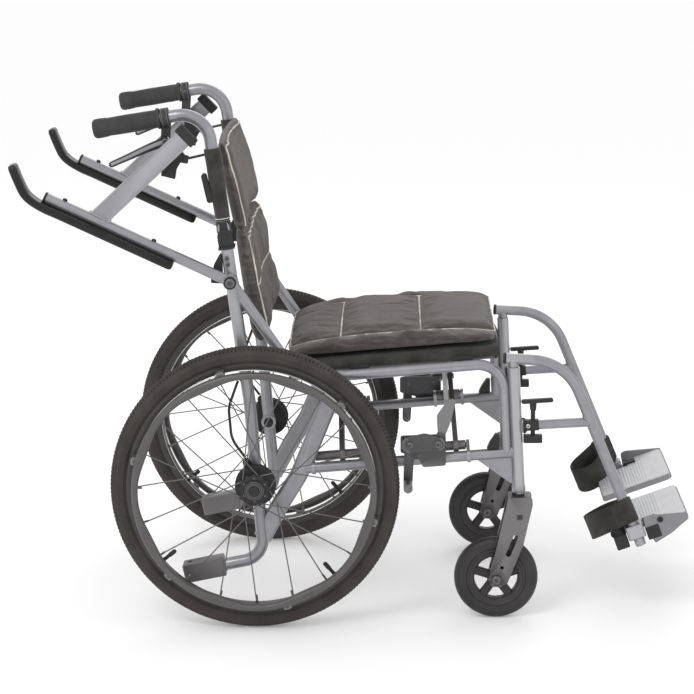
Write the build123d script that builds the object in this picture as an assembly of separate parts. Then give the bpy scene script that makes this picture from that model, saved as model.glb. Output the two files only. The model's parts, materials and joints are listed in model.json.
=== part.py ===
"""Folding self-propelled wheelchair with attendant brakes, in millimetres.

+X is forward, +Y is the user's left, +Z is up.  Shapes are laid out from the point on the floor
under the rear axle, on the left side, and mirrored for the right.  On export everything moves by
ORIGIN_X, so that the origin is on the floor in the middle of the whole chair.
"""
from build123d import *
import math
import os

# ------------------------------------------------------------------ driving dimensions
WHEEL_R = 255.0            # 20 inch rear wheel
CASTOR_R = 75.0            # 6 inch castor
Y_FRAME = 218.0            # side frame tubes, from the centre line
Y_BACK = 211.0             # folding upper back posts and push handles
Y_ARM = 244.0              # armrest frames
Y_PAD = 250.0              # armrest pads
Y_WHEEL = 270.0            # rear wheels
Y_HANDRIM = 305.0          # hand rims
R_TUBE = 11.0              # main frame tube, 22 mm
R_RAIL = 9.5               # rails, footrest and armrest tube, 19 mm
BACK_PAD_HALF = 195.0      # half the width of the back upholstery
ORIGIN_X = 175.65          # middle of the chair's length, from the rear axle

RAKE = 4.5                 # slope of the seat and lower rails, degrees
HINGE_GAP = 0.05           # radial running clearance of pins and shafts
GAP = 0.4                  # clearance between pieces that move past each other

AXLE = (0.0, WHEEL_R)                  # (x, z) of the rear axle
CASTOR_AXLE = (426.0, CASTOR_R)
CASTOR_STEM_X = 465.0
POST_FOOT = (466.0, 230.0)             # front post, bottom and top
POST_TOP = (455.0, 458.6)
BACK_HINGE = (-48.5, 694.0)
ARM_PIVOT = (-38.5, 617.8)
FOOT = (674.0, 159.0)                  # where the footplate's plane crosses its tube
FOOT_PITCH = 20.0                      # toe-up angle of the footplates
HANGER_TOP = (600.0, 342.0)            # the footrest tube's straight stretch, upper end
HANGER_DIR = (0.377, -0.926)
FOOT_PIN_Y = 196.0                     # the footplate's hinge pin, from the centre line
TIP_TUBE = [AXLE, (12.0, 112.0), (-118.0, 86.0)]
BACK_DIR = (-0.132, 0.991)             # the upper back post, upwards
HANDLE_CORNER = (-78.0, 912.0)         # where the post turns into the push handle
GRIP_END = (-272.0, 881.0)
GRIP_LENGTH = 115.0
ARM_DIR = (-0.905, 0.4255)             # the armrest tube, towards its free end
STRUT_END = (-111.1, 872.2)            # the armrest strut's latch end
STRUT_DIR = (0.731, 0.682)
LOCK_PIVOT = (322.0, 327.0)            # wheel lock lever and shoe
SHOE_PIVOT = (272.0, 325.0)
BRAKE_PIVOT = (-149.0, 861.0)          # attendant brake lever
CABLE_EXIT = (-30.0, 436.0)            # where the brake cable leaves the back post

AXLE_R = 6.3                           # shaft and pin radii
STEM_R = 6.0
HANGER_PIN_R = 5.0
PIVOT_ROD_R = 5.0
HINGE_PIN_R = 5.0
LOCK_PIN_R = 4.0
LATCH_PIN_R = 2.5

# fold linkage, in the plane across the rails: V is sideways, W is at right angles to the rails
RAIL_W, SEAT_RAIL_W = 0.0, 163.1
PIVOT_V, PIVOT_W = 200.0, 16.0         # lower pivot of a brace bar
SEAT_V, SEAT_W = 200.0, 178.6          # seat tube at the top of a brace bar
BAR_WIDTH, BAR_THICK = 26.0, 9.0
BRACE_U = (4.0, -198.4)                # the front and the rear X, along the rails
SEAT_TUBE_R = 10.0
LUG_U = (-246.0, -151.0, -22.0, 30.0)  # lugs that hold the pivot rods
PIVOT_RODS = ((-249.0, -148.0), (-25.0, 33.0))
SADDLE_U = (34.0, -150.0)              # cradles that the seat tube drops into
RAILS = Plane(origin=(347, 0, 295.5), x_dir=(0, 1, 0),
              z_dir=(math.cos(math.radians(RAKE)), 0, math.sin(math.radians(RAKE))))


# ------------------------------------------------------------------ helpers
def at(point, y=Y_FRAME):
    """A side-view point (x, z) at a distance y from the centre line."""
    return Vector(point[0], y, point[1])


def rod(start, end, radius):
    """Round bar between two points in space."""
    start, end = Vector(start), Vector(end)
    run = end - start
    return Solid.make_cylinder(radius, run.length, Plane(origin=start, z_dir=run))


def pin(point, y_from, y_to, radius):
    """Round bar along Y."""
    return rod(at(point, y_from), at(point, y_to), radius)


def tube(points, radius, bend, y=Y_FRAME):
    """Round bar along side-view points with every corner bent to the same radius."""
    path = FilletPolyline(*[at(p, y) for p in points], radius=bend)
    return sweep(Plane(origin=path @ 0, z_dir=path % 0) * Circle(radius), path=path)


def slab(outline, y_mid, thickness):
    """Side-view sketch made into a plate about the plane y_mid."""
    return extrude(Plane.XZ.offset(-(y_mid + thickness / 2)) * outline, amount=thickness)


def polygon(points, corner=0.0):
    outline = make_face(Polyline(*points, close=True))
    return fillet(outline.vertices(), corner) if corner else outline


def link(*circles):
    """Hull of circles given as (x, z, radius)."""
    return make_hull([(Pos(x, z) * Circle(r)).edge() for x, z, r in circles])


def block(size, corner):
    return fillet(Box(*size).edges(), corner)


def joined(pieces):
    whole = pieces[0]
    for piece in pieces[1:]:
        whole = whole + piece
    return whole


def lathe(profile, point):
    """Closed (y, radius) profile turned about the Y axis through a side-view point."""
    section = Plane(origin=(point[0], 0, point[1]), x_dir=(0, 1, 0), z_dir=(1, 0, 0)) * polygon(profile)
    return revolve(section, Axis((point[0], 0, point[1]), (0, 1, 0)), 360)


def around(point, angle):
    """Turn about the Y axis through a side-view point, by an angle in degrees."""
    x, z = point
    return Pos(x, 0, z) * Rot(0, angle, 0) * Pos(-x, 0, -z)


def on_line(start, direction, distance, offset=0.0):
    """Point along a side-view line, then offset at right angles, to its left."""
    dx, dz = direction
    return (start[0] + dx * distance - dz * offset, start[1] + dz * distance + dx * offset)


LATCH_PIVOT = on_line(BACK_HINGE, BACK_DIR, 66, 17)
HANDLE_DIR = tuple(Vector(GRIP_END[0] - HANDLE_CORNER[0], GRIP_END[1] - HANDLE_CORNER[1], 0).normalized())[:2]
SWING_DIR = Vector(POST_TOP[0] - POST_FOOT[0], 0, POST_TOP[1] - POST_FOOT[1]).normalized()


# ------------------------------------------------------------------ side frame
def side_frame():
    lean = (POST_TOP[0] - POST_FOOT[0]) / (POST_TOP[1] - POST_FOOT[1])
    rail_slope = math.tan(math.radians(RAKE))

    def low(x):
        return (x, 295.5 + (x - 347) * rail_slope)

    def high(x):
        return (x, 457.5 + (x - 326) * rail_slope)

    back_post = tube([AXLE, (-10, 395), (-45.5, 671)], R_TUBE, 300)
    front_post = rod(at(POST_FOOT), at(POST_TOP), R_TUBE)
    lower_rail = rod(at(low(85)), at(low(462)), R_RAIL)
    seat_rail = tube([high(146), high(436), (443.5, 306)], R_RAIL, 45)
    arm_strut = rod(at((-36, 608)), at((73, 445)), R_RAIL)
    strut_foot = rod(at((60, 446)), at(high(160)), R_RAIL)
    tip_tube = tube(TIP_TUBE, R_TUBE, 40)

    sweep_path = FilletPolyline(at((151, 446)), at((117, 364)), at((75, 263)), at((41, 208)), at((9, 148)),
                                radius=60)
    section = Plane(origin=sweep_path @ 0, z_dir=sweep_path % 0, x_dir=(0, 1, 0)) * RectangleRounded(16, 32, 6)
    flat_strut = sweep(section, path=sweep_path)

    gusset = slab(polygon([(390, 292), (452, 247.5), (460, 247.5), (460, 300), (440, 300)]), Y_FRAME, 5)
    receiver = pin(AXLE, 203, 236, 14)

    lugs = [RAILS * Pos(0, 0, u - 3) * extrude(link((Y_FRAME, RAIL_W, 12), (PIVOT_V, PIVOT_W, 9)), amount=6)
            for u in LUG_U]
    frame = joined([back_post, front_post, lower_rail, seat_rail, arm_strut, strut_foot, flat_strut, tip_tube,
                    gusset, receiver] + lugs)

    frame -= pin(AXLE, 190, 240, AXLE_R)
    frame -= rod((CASTOR_STEM_X, Y_FRAME, 220), (CASTOR_STEM_X, Y_FRAME, 276), STEM_R + HINGE_GAP)
    axis = Vector(lean, 0, 1).normalized()
    frame -= rod(at(POST_TOP) - axis * 52, at(POST_TOP) + axis * 5, HANGER_PIN_R + HINGE_GAP)
    for start, end in PIVOT_RODS:
        frame -= RAILS * rod((PIVOT_V, PIVOT_W, start), (PIVOT_V, PIVOT_W, end), PIVOT_ROD_R)
    return frame


def saddle(u):
    """Cradle on the seat rail that the seat tube drops into."""
    cradle = Pos(200, 168, u) * Box(28, 24, 34)
    cradle -= rod((Y_FRAME, SEAT_RAIL_W, u - 30), (Y_FRAME, SEAT_RAIL_W, u + 30), R_RAIL + 0.1)
    cradle -= rod((SEAT_V, SEAT_W, u - 30), (SEAT_V, SEAT_W, u + 30), SEAT_TUBE_R + GAP)
    cradle -= Pos(SEAT_V - 20, SEAT_W, u) * Box(40 + 2 * (SEAT_TUBE_R + GAP), 26, 60)
    return RAILS * cradle


def back_hinge():
    """Fixed fork on top of the lower back post, with the hinge pin."""
    lean = 7.4
    cheek_thick = 3.5
    base = Pos(0, Y_BACK + 2, -20.2) * Box(28, 33, 4.4)
    cheek = extrude(Plane.XZ * (link((0, 0, 13), (0, -12, 13)) - Pos(0, -29) * Rectangle(40, 22)),
                    amount=cheek_thick)
    cheeks = [Pos(0, y, 0) * cheek for y in (Y_BACK - 11.6, Y_BACK + 11.6 + cheek_thick)]
    fork = joined([base] + cheeks + [rod((0, Y_BACK - 17, 0), (0, Y_BACK + 17, 0), HINGE_PIN_R)])
    return Pos(BACK_HINGE[0], 0, BACK_HINGE[1]) * Rot(0, -lean, 0) * fork


def frame_fittings():
    """Black and bare fittings bolted to one side frame, each its own solid."""
    pivot_rods = [RAILS * rod((PIVOT_V, PIVOT_W, a), (PIVOT_V, PIVOT_W, b), PIVOT_ROD_R) for a, b in PIVOT_RODS]
    arm_bolt = pin(ARM_PIVOT, 229, 257, 6) + pin(ARM_PIVOT, 254.6, 261, 11)
    axle_pin = pin(AXLE, 198, 289, AXLE_R) + pin(AXLE, 198, 202.5, 9) - pin(AXLE, 268, 290, 3.2)
    brake_plate = pin(AXLE, 236.6, 242, 34) + slab(link((0, 255, 14), (-16, 293, 7)), 239.3, 5.4)
    brake_plate -= pin(AXLE, 190, 250, AXLE_R)
    tip_block = Pos(-95, Y_FRAME, 90.6) * Rot(0, -11.3, 0) * block((74, 34, 33), 5)
    tip_block -= rod(at((-47, 100.2)), at((-119, 85.8)), R_TUBE + 0.05)
    spacer = rod((CASTOR_STEM_X, Y_FRAME, 226.9), (CASTOR_STEM_X, Y_FRAME, 229.2), 11)
    spacer -= rod((CASTOR_STEM_X, Y_FRAME, 226), (CASTOR_STEM_X, Y_FRAME, 231), STEM_R + 0.3)
    post_bolts = [pin((-43.4 - 1.3 * i, 646 + 10.5 * i), 229, 233, 4.2) for i in range(2)]
    stop = slab(polygon([(409, 312), (414, 323), (424, 338), (431, 338), (431, 312)]), Y_FRAME, 14)
    arm_stop = slab(polygon([(-55, 668), (-68, 645), (-74, 624), (-74, 612), (-52.5, 611)], 2), Y_FRAME, 13)
    arm_stop -= tube([(-10, 395), (-45.5, 671), (-48.1, 691.2)], R_TUBE + 0.05, 200)
    return (pivot_rods + [saddle(u) for u in SADDLE_U]
            + [arm_bolt, axle_pin, brake_plate, tip_block, spacer, stop, arm_stop, back_hinge(), cable_grommet()]
            + post_bolts)


# ------------------------------------------------------------------ rear wheel
def tyre():
    body = revolve(Plane(origin=(AXLE[0], Y_WHEEL, AXLE[1]), x_dir=(0, 1, 0), z_dir=(1, 0, 0))
                   * (Pos(0, WHEEL_R - 17) * Circle(17)), Axis(at(AXLE, 0), (0, 1, 0)), 360)
    body -= pin(AXLE, Y_WHEEL - 20, Y_WHEEL + 20, 230.2)
    bead = [(Y_WHEEL - 8.8, 218.4), (Y_WHEEL + 8.8, 218.4), (Y_WHEEL + 8.8, 231), (Y_WHEEL - 8.8, 231)]
    return body + lathe(bead, AXLE)


def rim():
    y = Y_WHEEL
    return lathe([(y - 12, 212), (y + 12, 212), (y + 12, 230), (y + 9, 230), (y + 9, 218), (y - 9, 218),
                  (y - 9, 230), (y - 12, 230)], AXLE)


def spokes(count=20, radius=1.1, wrap=50.0):
    """Laced spokes: every other one starts on the brake drum, and they lean both ways in turn."""
    made = []
    for i in range(count):
        inner = i % 2 == 0
        lean = wrap if (i // 2) % 2 == 0 else -wrap
        rim_angle = math.radians(360.0 * i / count)
        hub_angle = rim_angle + math.radians(lean)
        hub_r, hub_y = (36.8, 255.0) if inner else (26.6, 286.5)
        hub_end = (hub_r * math.cos(hub_angle), hub_y, WHEEL_R + hub_r * math.sin(hub_angle))
        rim_end = (211.6 * math.cos(rim_angle), Y_WHEEL + (-3 if inner else 3),
                   WHEEL_R + 211.6 * math.sin(rim_angle))
        made.append(rod(hub_end, rim_end, radius))
    return made


def hub():
    shell = lathe([(243.6, AXLE_R + HINGE_GAP), (290, AXLE_R + HINGE_GAP), (290, 18), (288, 25), (285, 25),
                   (283, 20), (263, 20), (262, 35), (243.6, 35)], AXLE)
    cap = lathe([(290.1, 9.4), (297, 9.4), (298, 12), (298, 14), (296, 17), (290.1, 17)], AXLE)
    return [shell, cap]


def handrim(tabs=6):
    ring = revolve(Plane(origin=(AXLE[0], Y_HANDRIM, AXLE[1]), x_dir=(0, 1, 0), z_dir=(1, 0, 0))
                   * (Pos(0, 207) * Circle(8.5)), Axis(at(AXLE, 0), (0, 1, 0)), 360)
    tab = Pos(AXLE[0] + 216, (282.1 + 302) / 2, AXLE[1]) * Box(12, 302 - 282.1, 14)
    return joined([ring] + [around(AXLE, 360.0 * i / tabs + 15) * tab for i in range(tabs)])


def axle_button():
    return pin(AXLE, 294, 299, 9) + pin(AXLE, 276, 294, 2.9)


# ------------------------------------------------------------------ castor
def castor_fork():
    leg_outline = polygon([(447, 226), (489, 226), (490, 213), (474, 140), (446, 68), (434, 61), (418, 62),
                           (412, 75), (440, 190)], 5)
    slot = Pos(453.8, 137.5) * Rot(0, 0, 68) * SlotCenterToCenter(34, 9)
    window = Pos(467, 190) * RectangleRounded(10, 10, 1.5)
    leg_outline -= slot
    leg_outline -= window
    leg_outline -= Pos(436, 97) * Circle(3.2)
    legs = [slab(leg_outline, Y_FRAME + side * 19.5, 5) for side in (-1, 1)]
    crown = fillet((Pos(468, Y_FRAME, 217) * Box(40, 34.2, 19)).edges().filter_by(Axis.Y), 4)
    stem = rod((CASTOR_STEM_X, Y_FRAME, 220), (CASTOR_STEM_X, Y_FRAME, 270), STEM_R)
    washer = rod((CASTOR_STEM_X, Y_FRAME, 226), (CASTOR_STEM_X, Y_FRAME, 226.5), 10)
    axle = pin(CASTOR_AXLE, Y_FRAME - 26, Y_FRAME + 26, 4)
    heads = [pin(CASTOR_AXLE, Y_FRAME + a, Y_FRAME + b, 8) for a, b in ((-26, -22), (22, 26))]
    return joined(legs + [crown, stem, washer, axle] + heads)


def castor_tyre():
    body = revolve(Plane(origin=at(CASTOR_AXLE), x_dir=(0, 1, 0), z_dir=(1, 0, 0))
                   * (Pos(0, CASTOR_R - 14) * Circle(14)), Axis(at(CASTOR_AXLE, 0), (0, 1, 0)), 360)
    return body - pin(CASTOR_AXLE, Y_FRAME - 20, Y_FRAME + 20, 56.1)


def castor_wheel():
    y = Y_FRAME
    wheel = lathe([(y - 10, 49), (y + 10, 49), (y + 11, 56), (y - 11, 56)], CASTOR_AXLE)
    wheel += pin(CASTOR_AXLE, y - 15, y + 15, 14)
    for i in range(5):
        arm = slab(polygon([(426 - 7, 75 + 8), (426 + 7, 75 + 8), (426 + 5, 75 + 50), (426 - 5, 75 + 50)]), y, 12)
        wheel += around(CASTOR_AXLE, 72 * i) * arm
    return wheel - pin(CASTOR_AXLE, y - 20, y + 20, 4 + HINGE_GAP)


# ------------------------------------------------------------------ wheel lock
def wheel_lock_plate():
    base = slab(polygon([(256, 338), (336, 341), (336, 284), (296, 281), (286, 300), (256, 308)], 4), 232.4, 4)
    cover = slab(link((*SHOE_PIVOT, 14), (298, 330, 15), (*LOCK_PIVOT, 12)), 245.5, 6)
    pins = [pin(p, 230, 250, LOCK_PIN_R) for p in (LOCK_PIVOT, SHOE_PIVOT)]
    heads = [pin(p, 248.5, 251.5, 6.5) for p in (LOCK_PIVOT, SHOE_PIVOT)]
    return joined([base, cover] + pins + heads)


def wheel_lock_lever():
    arm = slab(link((*LOCK_PIVOT, 9), (333, 356, 6)), 238.2, 6)
    paddle = slab(link((330, 352, 9), (333, 372, 13), (345, 399, 7)), 238.2, 7)
    return arm + paddle - pin(LOCK_PIVOT, 230, 250, LOCK_PIN_R + HINGE_GAP)


def wheel_lock_shoe():
    arm = slab(link((*SHOE_PIVOT, 9), (269, 255, 8)), 238.2, 6)
    bar = pin((269, 255), 235.2, 284, 8)
    return arm + bar - pin(SHOE_PIVOT, 230, 250, LOCK_PIN_R + HINGE_GAP)


# ------------------------------------------------------------------ back and push handle
def back_post():
    foot = on_line(BACK_HINGE, BACK_DIR, 13)
    post = tube([foot, HANDLE_CORNER, on_line(GRIP_END, HANDLE_DIR, -10)], R_TUBE, 50, Y_BACK)
    eye = slab(link((*BACK_HINGE, 10), (*on_line(BACK_HINGE, BACK_DIR, 16), 10)), Y_BACK, 22)
    ears = slab(link((*on_line(BACK_HINGE, BACK_DIR, 66, 6), 6), (*on_line(BACK_HINGE, BACK_DIR, 66, 17), 5)),
                Y_BACK, 6)
    bores = [pin(BACK_HINGE, 190, 232, HINGE_PIN_R + HINGE_GAP), pin(LATCH_PIVOT, 190, 232, LATCH_PIN_R)]
    return post + eye + ears - bores[0] - bores[1]


def back_release_lever():
    """Sprung latch lever behind the post: two cheeks outside the post's ear, joined above it."""
    top = on_line(BACK_HINGE, BACK_DIR, 108, 21)
    cheeks = [slab(link((*LATCH_PIVOT, 5), (*top, 4.5)), Y_BACK + side * 6, 5) for side in (-1, 1)]
    bridge = slab(link((*on_line(BACK_HINGE, BACK_DIR, 78, 19), 4.5), (*top, 4.5)), Y_BACK, 12)
    shaft = pin(LATCH_PIVOT, Y_BACK - 8, Y_BACK + 8, LATCH_PIN_R - HINGE_GAP)
    return joined(cheeks + [bridge, shaft])


def push_grip():
    """Hand grip, and the attendant brake's clamp with its cable anchor and cable stub."""
    def handle(distance):
        """Point on the handle's axis, measured back from the grip's rear end."""
        return at(on_line(GRIP_END, HANDLE_DIR, -distance), Y_BACK)

    grip = rod(handle(GRIP_LENGTH), handle(0), 15)
    grip = fillet(grip.edges().filter_by(GeomType.CIRCLE), 4)
    grip -= rod(handle(GRIP_LENGTH + 5), handle(9.5), R_TUBE + 0.05)
    band = rod(handle(GRIP_LENGTH + 17), handle(GRIP_LENGTH + 3), 16.5)
    plate = slab(link((-147, 889, 8), (*BRAKE_PIVOT, 8)) + link((*BRAKE_PIVOT, 8), (-123, 833, 7)), Y_BACK - 0.5, 10)
    anchor = Pos(-121, Y_BACK - 0.5, 829) * Rot(0, 10, 0) * block((22, 10, 14), 2)
    clamp = band + plate + anchor + pin(BRAKE_PIVOT, Y_BACK - 6, Y_BACK + 14, 3)
    clamp -= rod(handle(GRIP_LENGTH + 22), handle(GRIP_LENGTH - 5), R_TUBE + 0.05)
    cable = rod(at((-109.6, 829.5), Y_BACK - 0.5), at((-81, 836), Y_BACK - 0.5), 2.2)
    return [grip, clamp, cable]


def attendant_lever():
    y = Y_BACK + 9
    blade = link((*BRAKE_PIVOT, 8), (-184, 846, 6)) + link((-184, 846, 6), (-242, 821, 5))
    paddle = link((*BRAKE_PIVOT, 8), (-138, 838, 6)) + polygon([(-157, 801), (-133, 795), (-130, 812), (-118, 832),
                                                                (-126, 841), (-152, 846)], 1)
    return slab(blade + paddle, y, 8) - pin(BRAKE_PIVOT, 190, 240, 3 + HINGE_GAP)


# ------------------------------------------------------------------ armrest
def arm_frame():
    boss = pin(ARM_PIVOT, 234, 254, 13)
    bar = rod(at(ARM_PIVOT, Y_ARM), at(on_line(ARM_PIVOT, ARM_DIR, 350), Y_ARM), R_RAIL)
    strut = slab(polygon([(-278, 741), (-247, 725), (-100.65, 861), (-121.55, 883.4)]), Y_ARM, 10)
    return boss + bar + strut - pin(ARM_PIVOT, 230, 260, 6 + HINGE_GAP)


def arm_latch():
    """Spring catch in a cap over the strut's free end."""
    turn = -math.degrees(math.atan2(STRUT_DIR[1], STRUT_DIR[0]))
    shell = Pos(1.5, 0, 0) * block((17, 17, 40), 2)
    shell -= Pos(-9.7, 0, 0) * Box(30, 10 + 2 * GAP, 32)
    return Pos(STRUT_END[0], Y_ARM, STRUT_END[1]) * Rot(0, turn, 0) * shell


def arm_pad():
    start = on_line(ARM_PIVOT, ARM_DIR, 108, 15)
    path = FilletPolyline(at(start, Y_PAD), at((-381.2, 762.4), Y_PAD), at((-409.7, 822.7), Y_PAD), radius=38)
    pad = sweep(Plane(origin=path @ 0, z_dir=path % 0, x_dir=(0, 1, 0)) * RectangleRounded(38, 15, 5), path=path)
    return pad - rod(at(on_line(ARM_PIVOT, ARM_DIR, 60), Y_ARM), at(on_line(ARM_PIVOT, ARM_DIR, 352), Y_ARM),
                     R_RAIL + 0.05)


# ------------------------------------------------------------------ footrest
def hanger_point(distance, offset=0.0):
    """Point on the footrest tube's straight stretch, measured from its upper end."""
    return on_line(HANGER_TOP, HANGER_DIR, distance, offset)


def foot_location(y=0.0):
    return Pos(FOOT[0], y, FOOT[1]) * Rot(0, -FOOT_PITCH, 0)


def footrest_hanger():
    leg = tube([(440, 474.5), (547.5, 468), hanger_point(225)], R_RAIL, 95)
    link_bar = rod(at((474, 353)), at((592, 359)), 8.5)
    collar_base = at(POST_TOP) - SWING_DIR * 117
    first, sector = math.radians(-98), 145
    collar = Solid.make_cylinder(17, 20, Plane(origin=collar_base, x_dir=(math.cos(first), math.sin(first), 0),
                                               z_dir=SWING_DIR), angle=sector)
    collar -= Solid.make_cylinder(R_TUBE + GAP, 30, Plane(origin=collar_base - SWING_DIR * 5, z_dir=SWING_DIR))
    swing_pin = rod(at(POST_TOP) - SWING_DIR * 48, at(POST_TOP) + SWING_DIR * 12, HANGER_PIN_R)
    swing_collar = rod(at(POST_TOP) + SWING_DIR * 0.6, at(POST_TOP) + SWING_DIR * 12, 9)
    socket = foot_location() * Pos(0, 217, 0) * block((32, 27, 26), 3)
    lug = foot_location() * Pos(0, 199.5, 0) * Box(32, 17, 18)
    hinge_pin = foot_location() * rod((-38, FOOT_PIN_Y, 0), (48, FOOT_PIN_Y, 0), 5)
    hanger = joined([leg, link_bar + collar, swing_pin, swing_collar, socket, lug, hinge_pin])
    return hanger - rod(at((490, 330)), at((490, 380)), 4.4)


def footrest_release():
    """Lift-up latch: T handle, stem through the link bar and latch block under it."""
    stem = rod(at((490, 330)), at((490, 395)), 4)
    handle = slab(link((473, 396, 3.5), (522, 399, 3.5)), Y_FRAME, 9)
    neck = slab(link((490, 384, 5.5), (490, 394, 6)), Y_FRAME, 9)
    latch = Pos(490, Y_FRAME, 329) * block((33, 16, 14), 1.5)
    return joined([stem, handle, neck, latch])


def footplate():
    inner = Pos(29, (38 + 183.5) / 2, 0) * Box(138, 183.5 - 38, 8)
    outer = Pos(60, (183 + 228) / 2, 0) * Box(76, 228 - 183, 8)
    heel = Pos(-28.5, 189.5, 0) * Box(23, 13, 8)
    skirt_outline = polygon([(18, 4), (20, 21), (30, 22), (98, 4), (98, -5), (60, -22), (25, -30)])
    skirt = extrude(Plane.XZ.offset(-228) * skirt_outline, amount=4)
    barrels = [rod((a, FOOT_PIN_Y, 0), (b, FOOT_PIN_Y, 0), 9) for a, b in ((-40, -17), (17, 50))]
    plate = joined([inner, outer, heel, skirt] + barrels)
    plate -= rod((-39, FOOT_PIN_Y, 0), (49, FOOT_PIN_Y, 0), 5 + HINGE_GAP)
    return foot_location() * plate


def heel_loop():
    """Fabric loop behind the heel, held on the footrest tube."""
    outside = link((0, 0, 12.6), (-62, 53, 33))
    inside = link((0, 0, 9.8), (-62, 53, 30.2))
    start = hanger_point(134)
    across = Plane(origin=at(start), x_dir=(-HANGER_DIR[1], 0, HANGER_DIR[0]),
                   z_dir=(HANGER_DIR[0], 0, HANGER_DIR[1]))
    band = extrude(across * (outside - inside), amount=46)
    return band


# ------------------------------------------------------------------ cables
def cable_grommet():
    """Sleeve where the cable comes out of the back post."""
    sleeve = rod(at((-19, 449), 219), at((-29, 438), 221), 4.5)
    return sleeve - rod(at((-10.5, 395)), at((-25.5, 516)), R_TUBE + 0.1)


def brake_cable():
    route = [CABLE_EXIT, (-47, 390), (-42, 334), (-18.5, 301.5)]
    path = FilletPolyline(*[at(p, y) for p, y in zip(route, (221, 229, 237, 239.5))], radius=52)
    return sweep(Plane(origin=path @ 0, z_dir=path % 0) * Circle(2.4), path=path)


# ------------------------------------------------------------------ fold linkage and seat
def brace_bar(u_from):
    """Flat bar from the lower pivot on the right to the seat tube on the left."""
    angle = math.degrees(math.atan2(SEAT_W - PIVOT_W, SEAT_V + PIVOT_V))
    length = math.hypot(SEAT_W - PIVOT_W, SEAT_V + PIVOT_V)
    bar = Pos(length / 2, 0) * Rectangle(length, BAR_WIDTH) + Circle(BAR_WIDTH / 2)
    return Pos(-PIVOT_V, PIVOT_W, u_from) * Rot(0, 0, angle) * extrude(bar, amount=BAR_THICK)


def cross_brace(carries_pins):
    """Right-low to left-high brace in linkage coordinates: two bars, two sleeves, one seat tube."""
    centre_w = (PIVOT_W + SEAT_W) / 2
    seat_tube = rod((SEAT_V, SEAT_W, -255), (SEAT_V, SEAT_W, 90), SEAT_TUBE_R)
    sleeves = [rod((-PIVOT_V, PIVOT_W, a), (-PIVOT_V, PIVOT_W, b), 8.5)
               for a, b in ((LUG_U[0] + 4, LUG_U[1] - 4), (LUG_U[2] + 4, LUG_U[3] - 4))]
    offset = 0.3 if carries_pins else -0.3 - BAR_THICK
    brace = joined([seat_tube] + sleeves + [brace_bar(u + offset) for u in BRACE_U])
    brace -= Pos(SEAT_V - 10, SEAT_W + SEAT_TUBE_R + 10, 0) * Box(60, 20, 600)
    for start, end in PIVOT_RODS:
        brace -= rod((-PIVOT_V, PIVOT_W, start), (-PIVOT_V, PIVOT_W, end), PIVOT_ROD_R + HINGE_GAP)
    for u in BRACE_U:
        if carries_pins:
            brace += rod((0, centre_w, u - 13), (0, centre_w, u + 12), 5)
            brace += rod((0, centre_w, u - 15), (0, centre_w, u - 9.8), 8)
        else:
            brace -= rod((0, centre_w, u - 14), (0, centre_w, u + 14), 5 + HINGE_GAP)
    return brace


def brace_a():
    return RAILS * cross_brace(True)


def brace_b():
    return RAILS * mirror(cross_brace(False), about=Plane.YZ)


def seat_cushion():
    pad = Pos(102.0, 207.5, -89.5) * Box(203.4, 27, 383)
    return RAILS * fillet(pad.edges().filter_by(Axis.Z).sort_by(Axis.X)[-2:], 10)


def seat_sling():
    return RAILS * (Pos(104.3, 190.9, -86) * Box(208, 3.2, 366))


def back_pad(points):
    return slab(polygon(points, 5), 0, 2 * BACK_PAD_HALF)


# ------------------------------------------------------------------ assembly
SIDE_PARTS = {
    "side_frame": side_frame, "frame_fittings": frame_fittings,
    "tyre": tyre, "rim": rim, "spokes": spokes, "hub": hub, "handrim": handrim, "axle_button": axle_button,
    "castor_fork": castor_fork, "castor_tyre": castor_tyre, "castor_wheel": castor_wheel,
    "wheel_lock_plate": wheel_lock_plate, "wheel_lock_lever": wheel_lock_lever,
    "wheel_lock_shoe": wheel_lock_shoe,
    "back_post": back_post, "back_release_lever": back_release_lever, "push_grip": push_grip,
    "attendant_lever": attendant_lever,
    "arm_frame": arm_frame, "arm_latch": arm_latch, "arm_pad": arm_pad,
    "footrest_hanger": footrest_hanger, "footrest_release": footrest_release, "footplate": footplate,
    "heel_loop": heel_loop, "brake_cable": brake_cable,
    "seat_cushion": seat_cushion, "seat_sling": seat_sling,
}
MIDDLE_PARTS = {
    "cross_brace_a": brace_a(),
    "cross_brace_b": brace_b(),
    "back_pad_lower": back_pad([(-37, 692), (0, 692), (33, 530), (30, 502), (12, 497), (-10, 505), (-26, 600)]),
    "back_pad_upper": back_pad([(-38, 700), (-3, 700), (-19, 775), (-42, 850), (-62, 852), (-53, 780)]),
}


def as_list(shape):
    return shape if isinstance(shape, list) else [shape]


def save(name, shapes):
    moved = [Pos(-ORIGIN_X, 0, 0) * shape for shape in shapes]
    solids = [solid for shape in moved for solid in shape.solids()]
    whole = solids[0] if len(solids) == 1 else Compound(children=solids)
    export_step(whole, f"parts/{name}.step")
    return whole.bounding_box()


os.makedirs("parts", exist_ok=True)
boxes = []
for name, build in SIDE_PARTS.items():
    left = as_list(build())
    boxes.append(save(f"{name}_left", left))
    boxes.append(save(f"{name}_right", [mirror(shape, about=Plane.XZ) for shape in left]))
for name, shape in MIDDLE_PARTS.items():
    boxes.append(save(name, [shape]))

front, rear = max(b.max.X for b in boxes), min(b.min.X for b in boxes)
print(f"box X {rear:.2f} to {front:.2f}, middle {(front + rear) / 2:.3f}, "
      f"Y {min(b.min.Y for b in boxes):.2f} to {max(b.max.Y for b in boxes):.2f}, "
      f"Z {min(b.min.Z for b in boxes):.2f} to {max(b.max.Z for b in boxes):.2f}")
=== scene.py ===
"""Looks of a folding wheelchair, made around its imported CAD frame.

Lengths are metres in the frame's own axes: +X forward, +Y the user's left, +Z up.  at(x, y, z) takes
millimetres from the point on the floor under the rear axle, which is how the CAD model is laid out.
"""
import json
import math

import bmesh
import bpy
import numpy as np
from mathutils import Matrix, Vector
from mathutils.bvhtree import BVHTree


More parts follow.
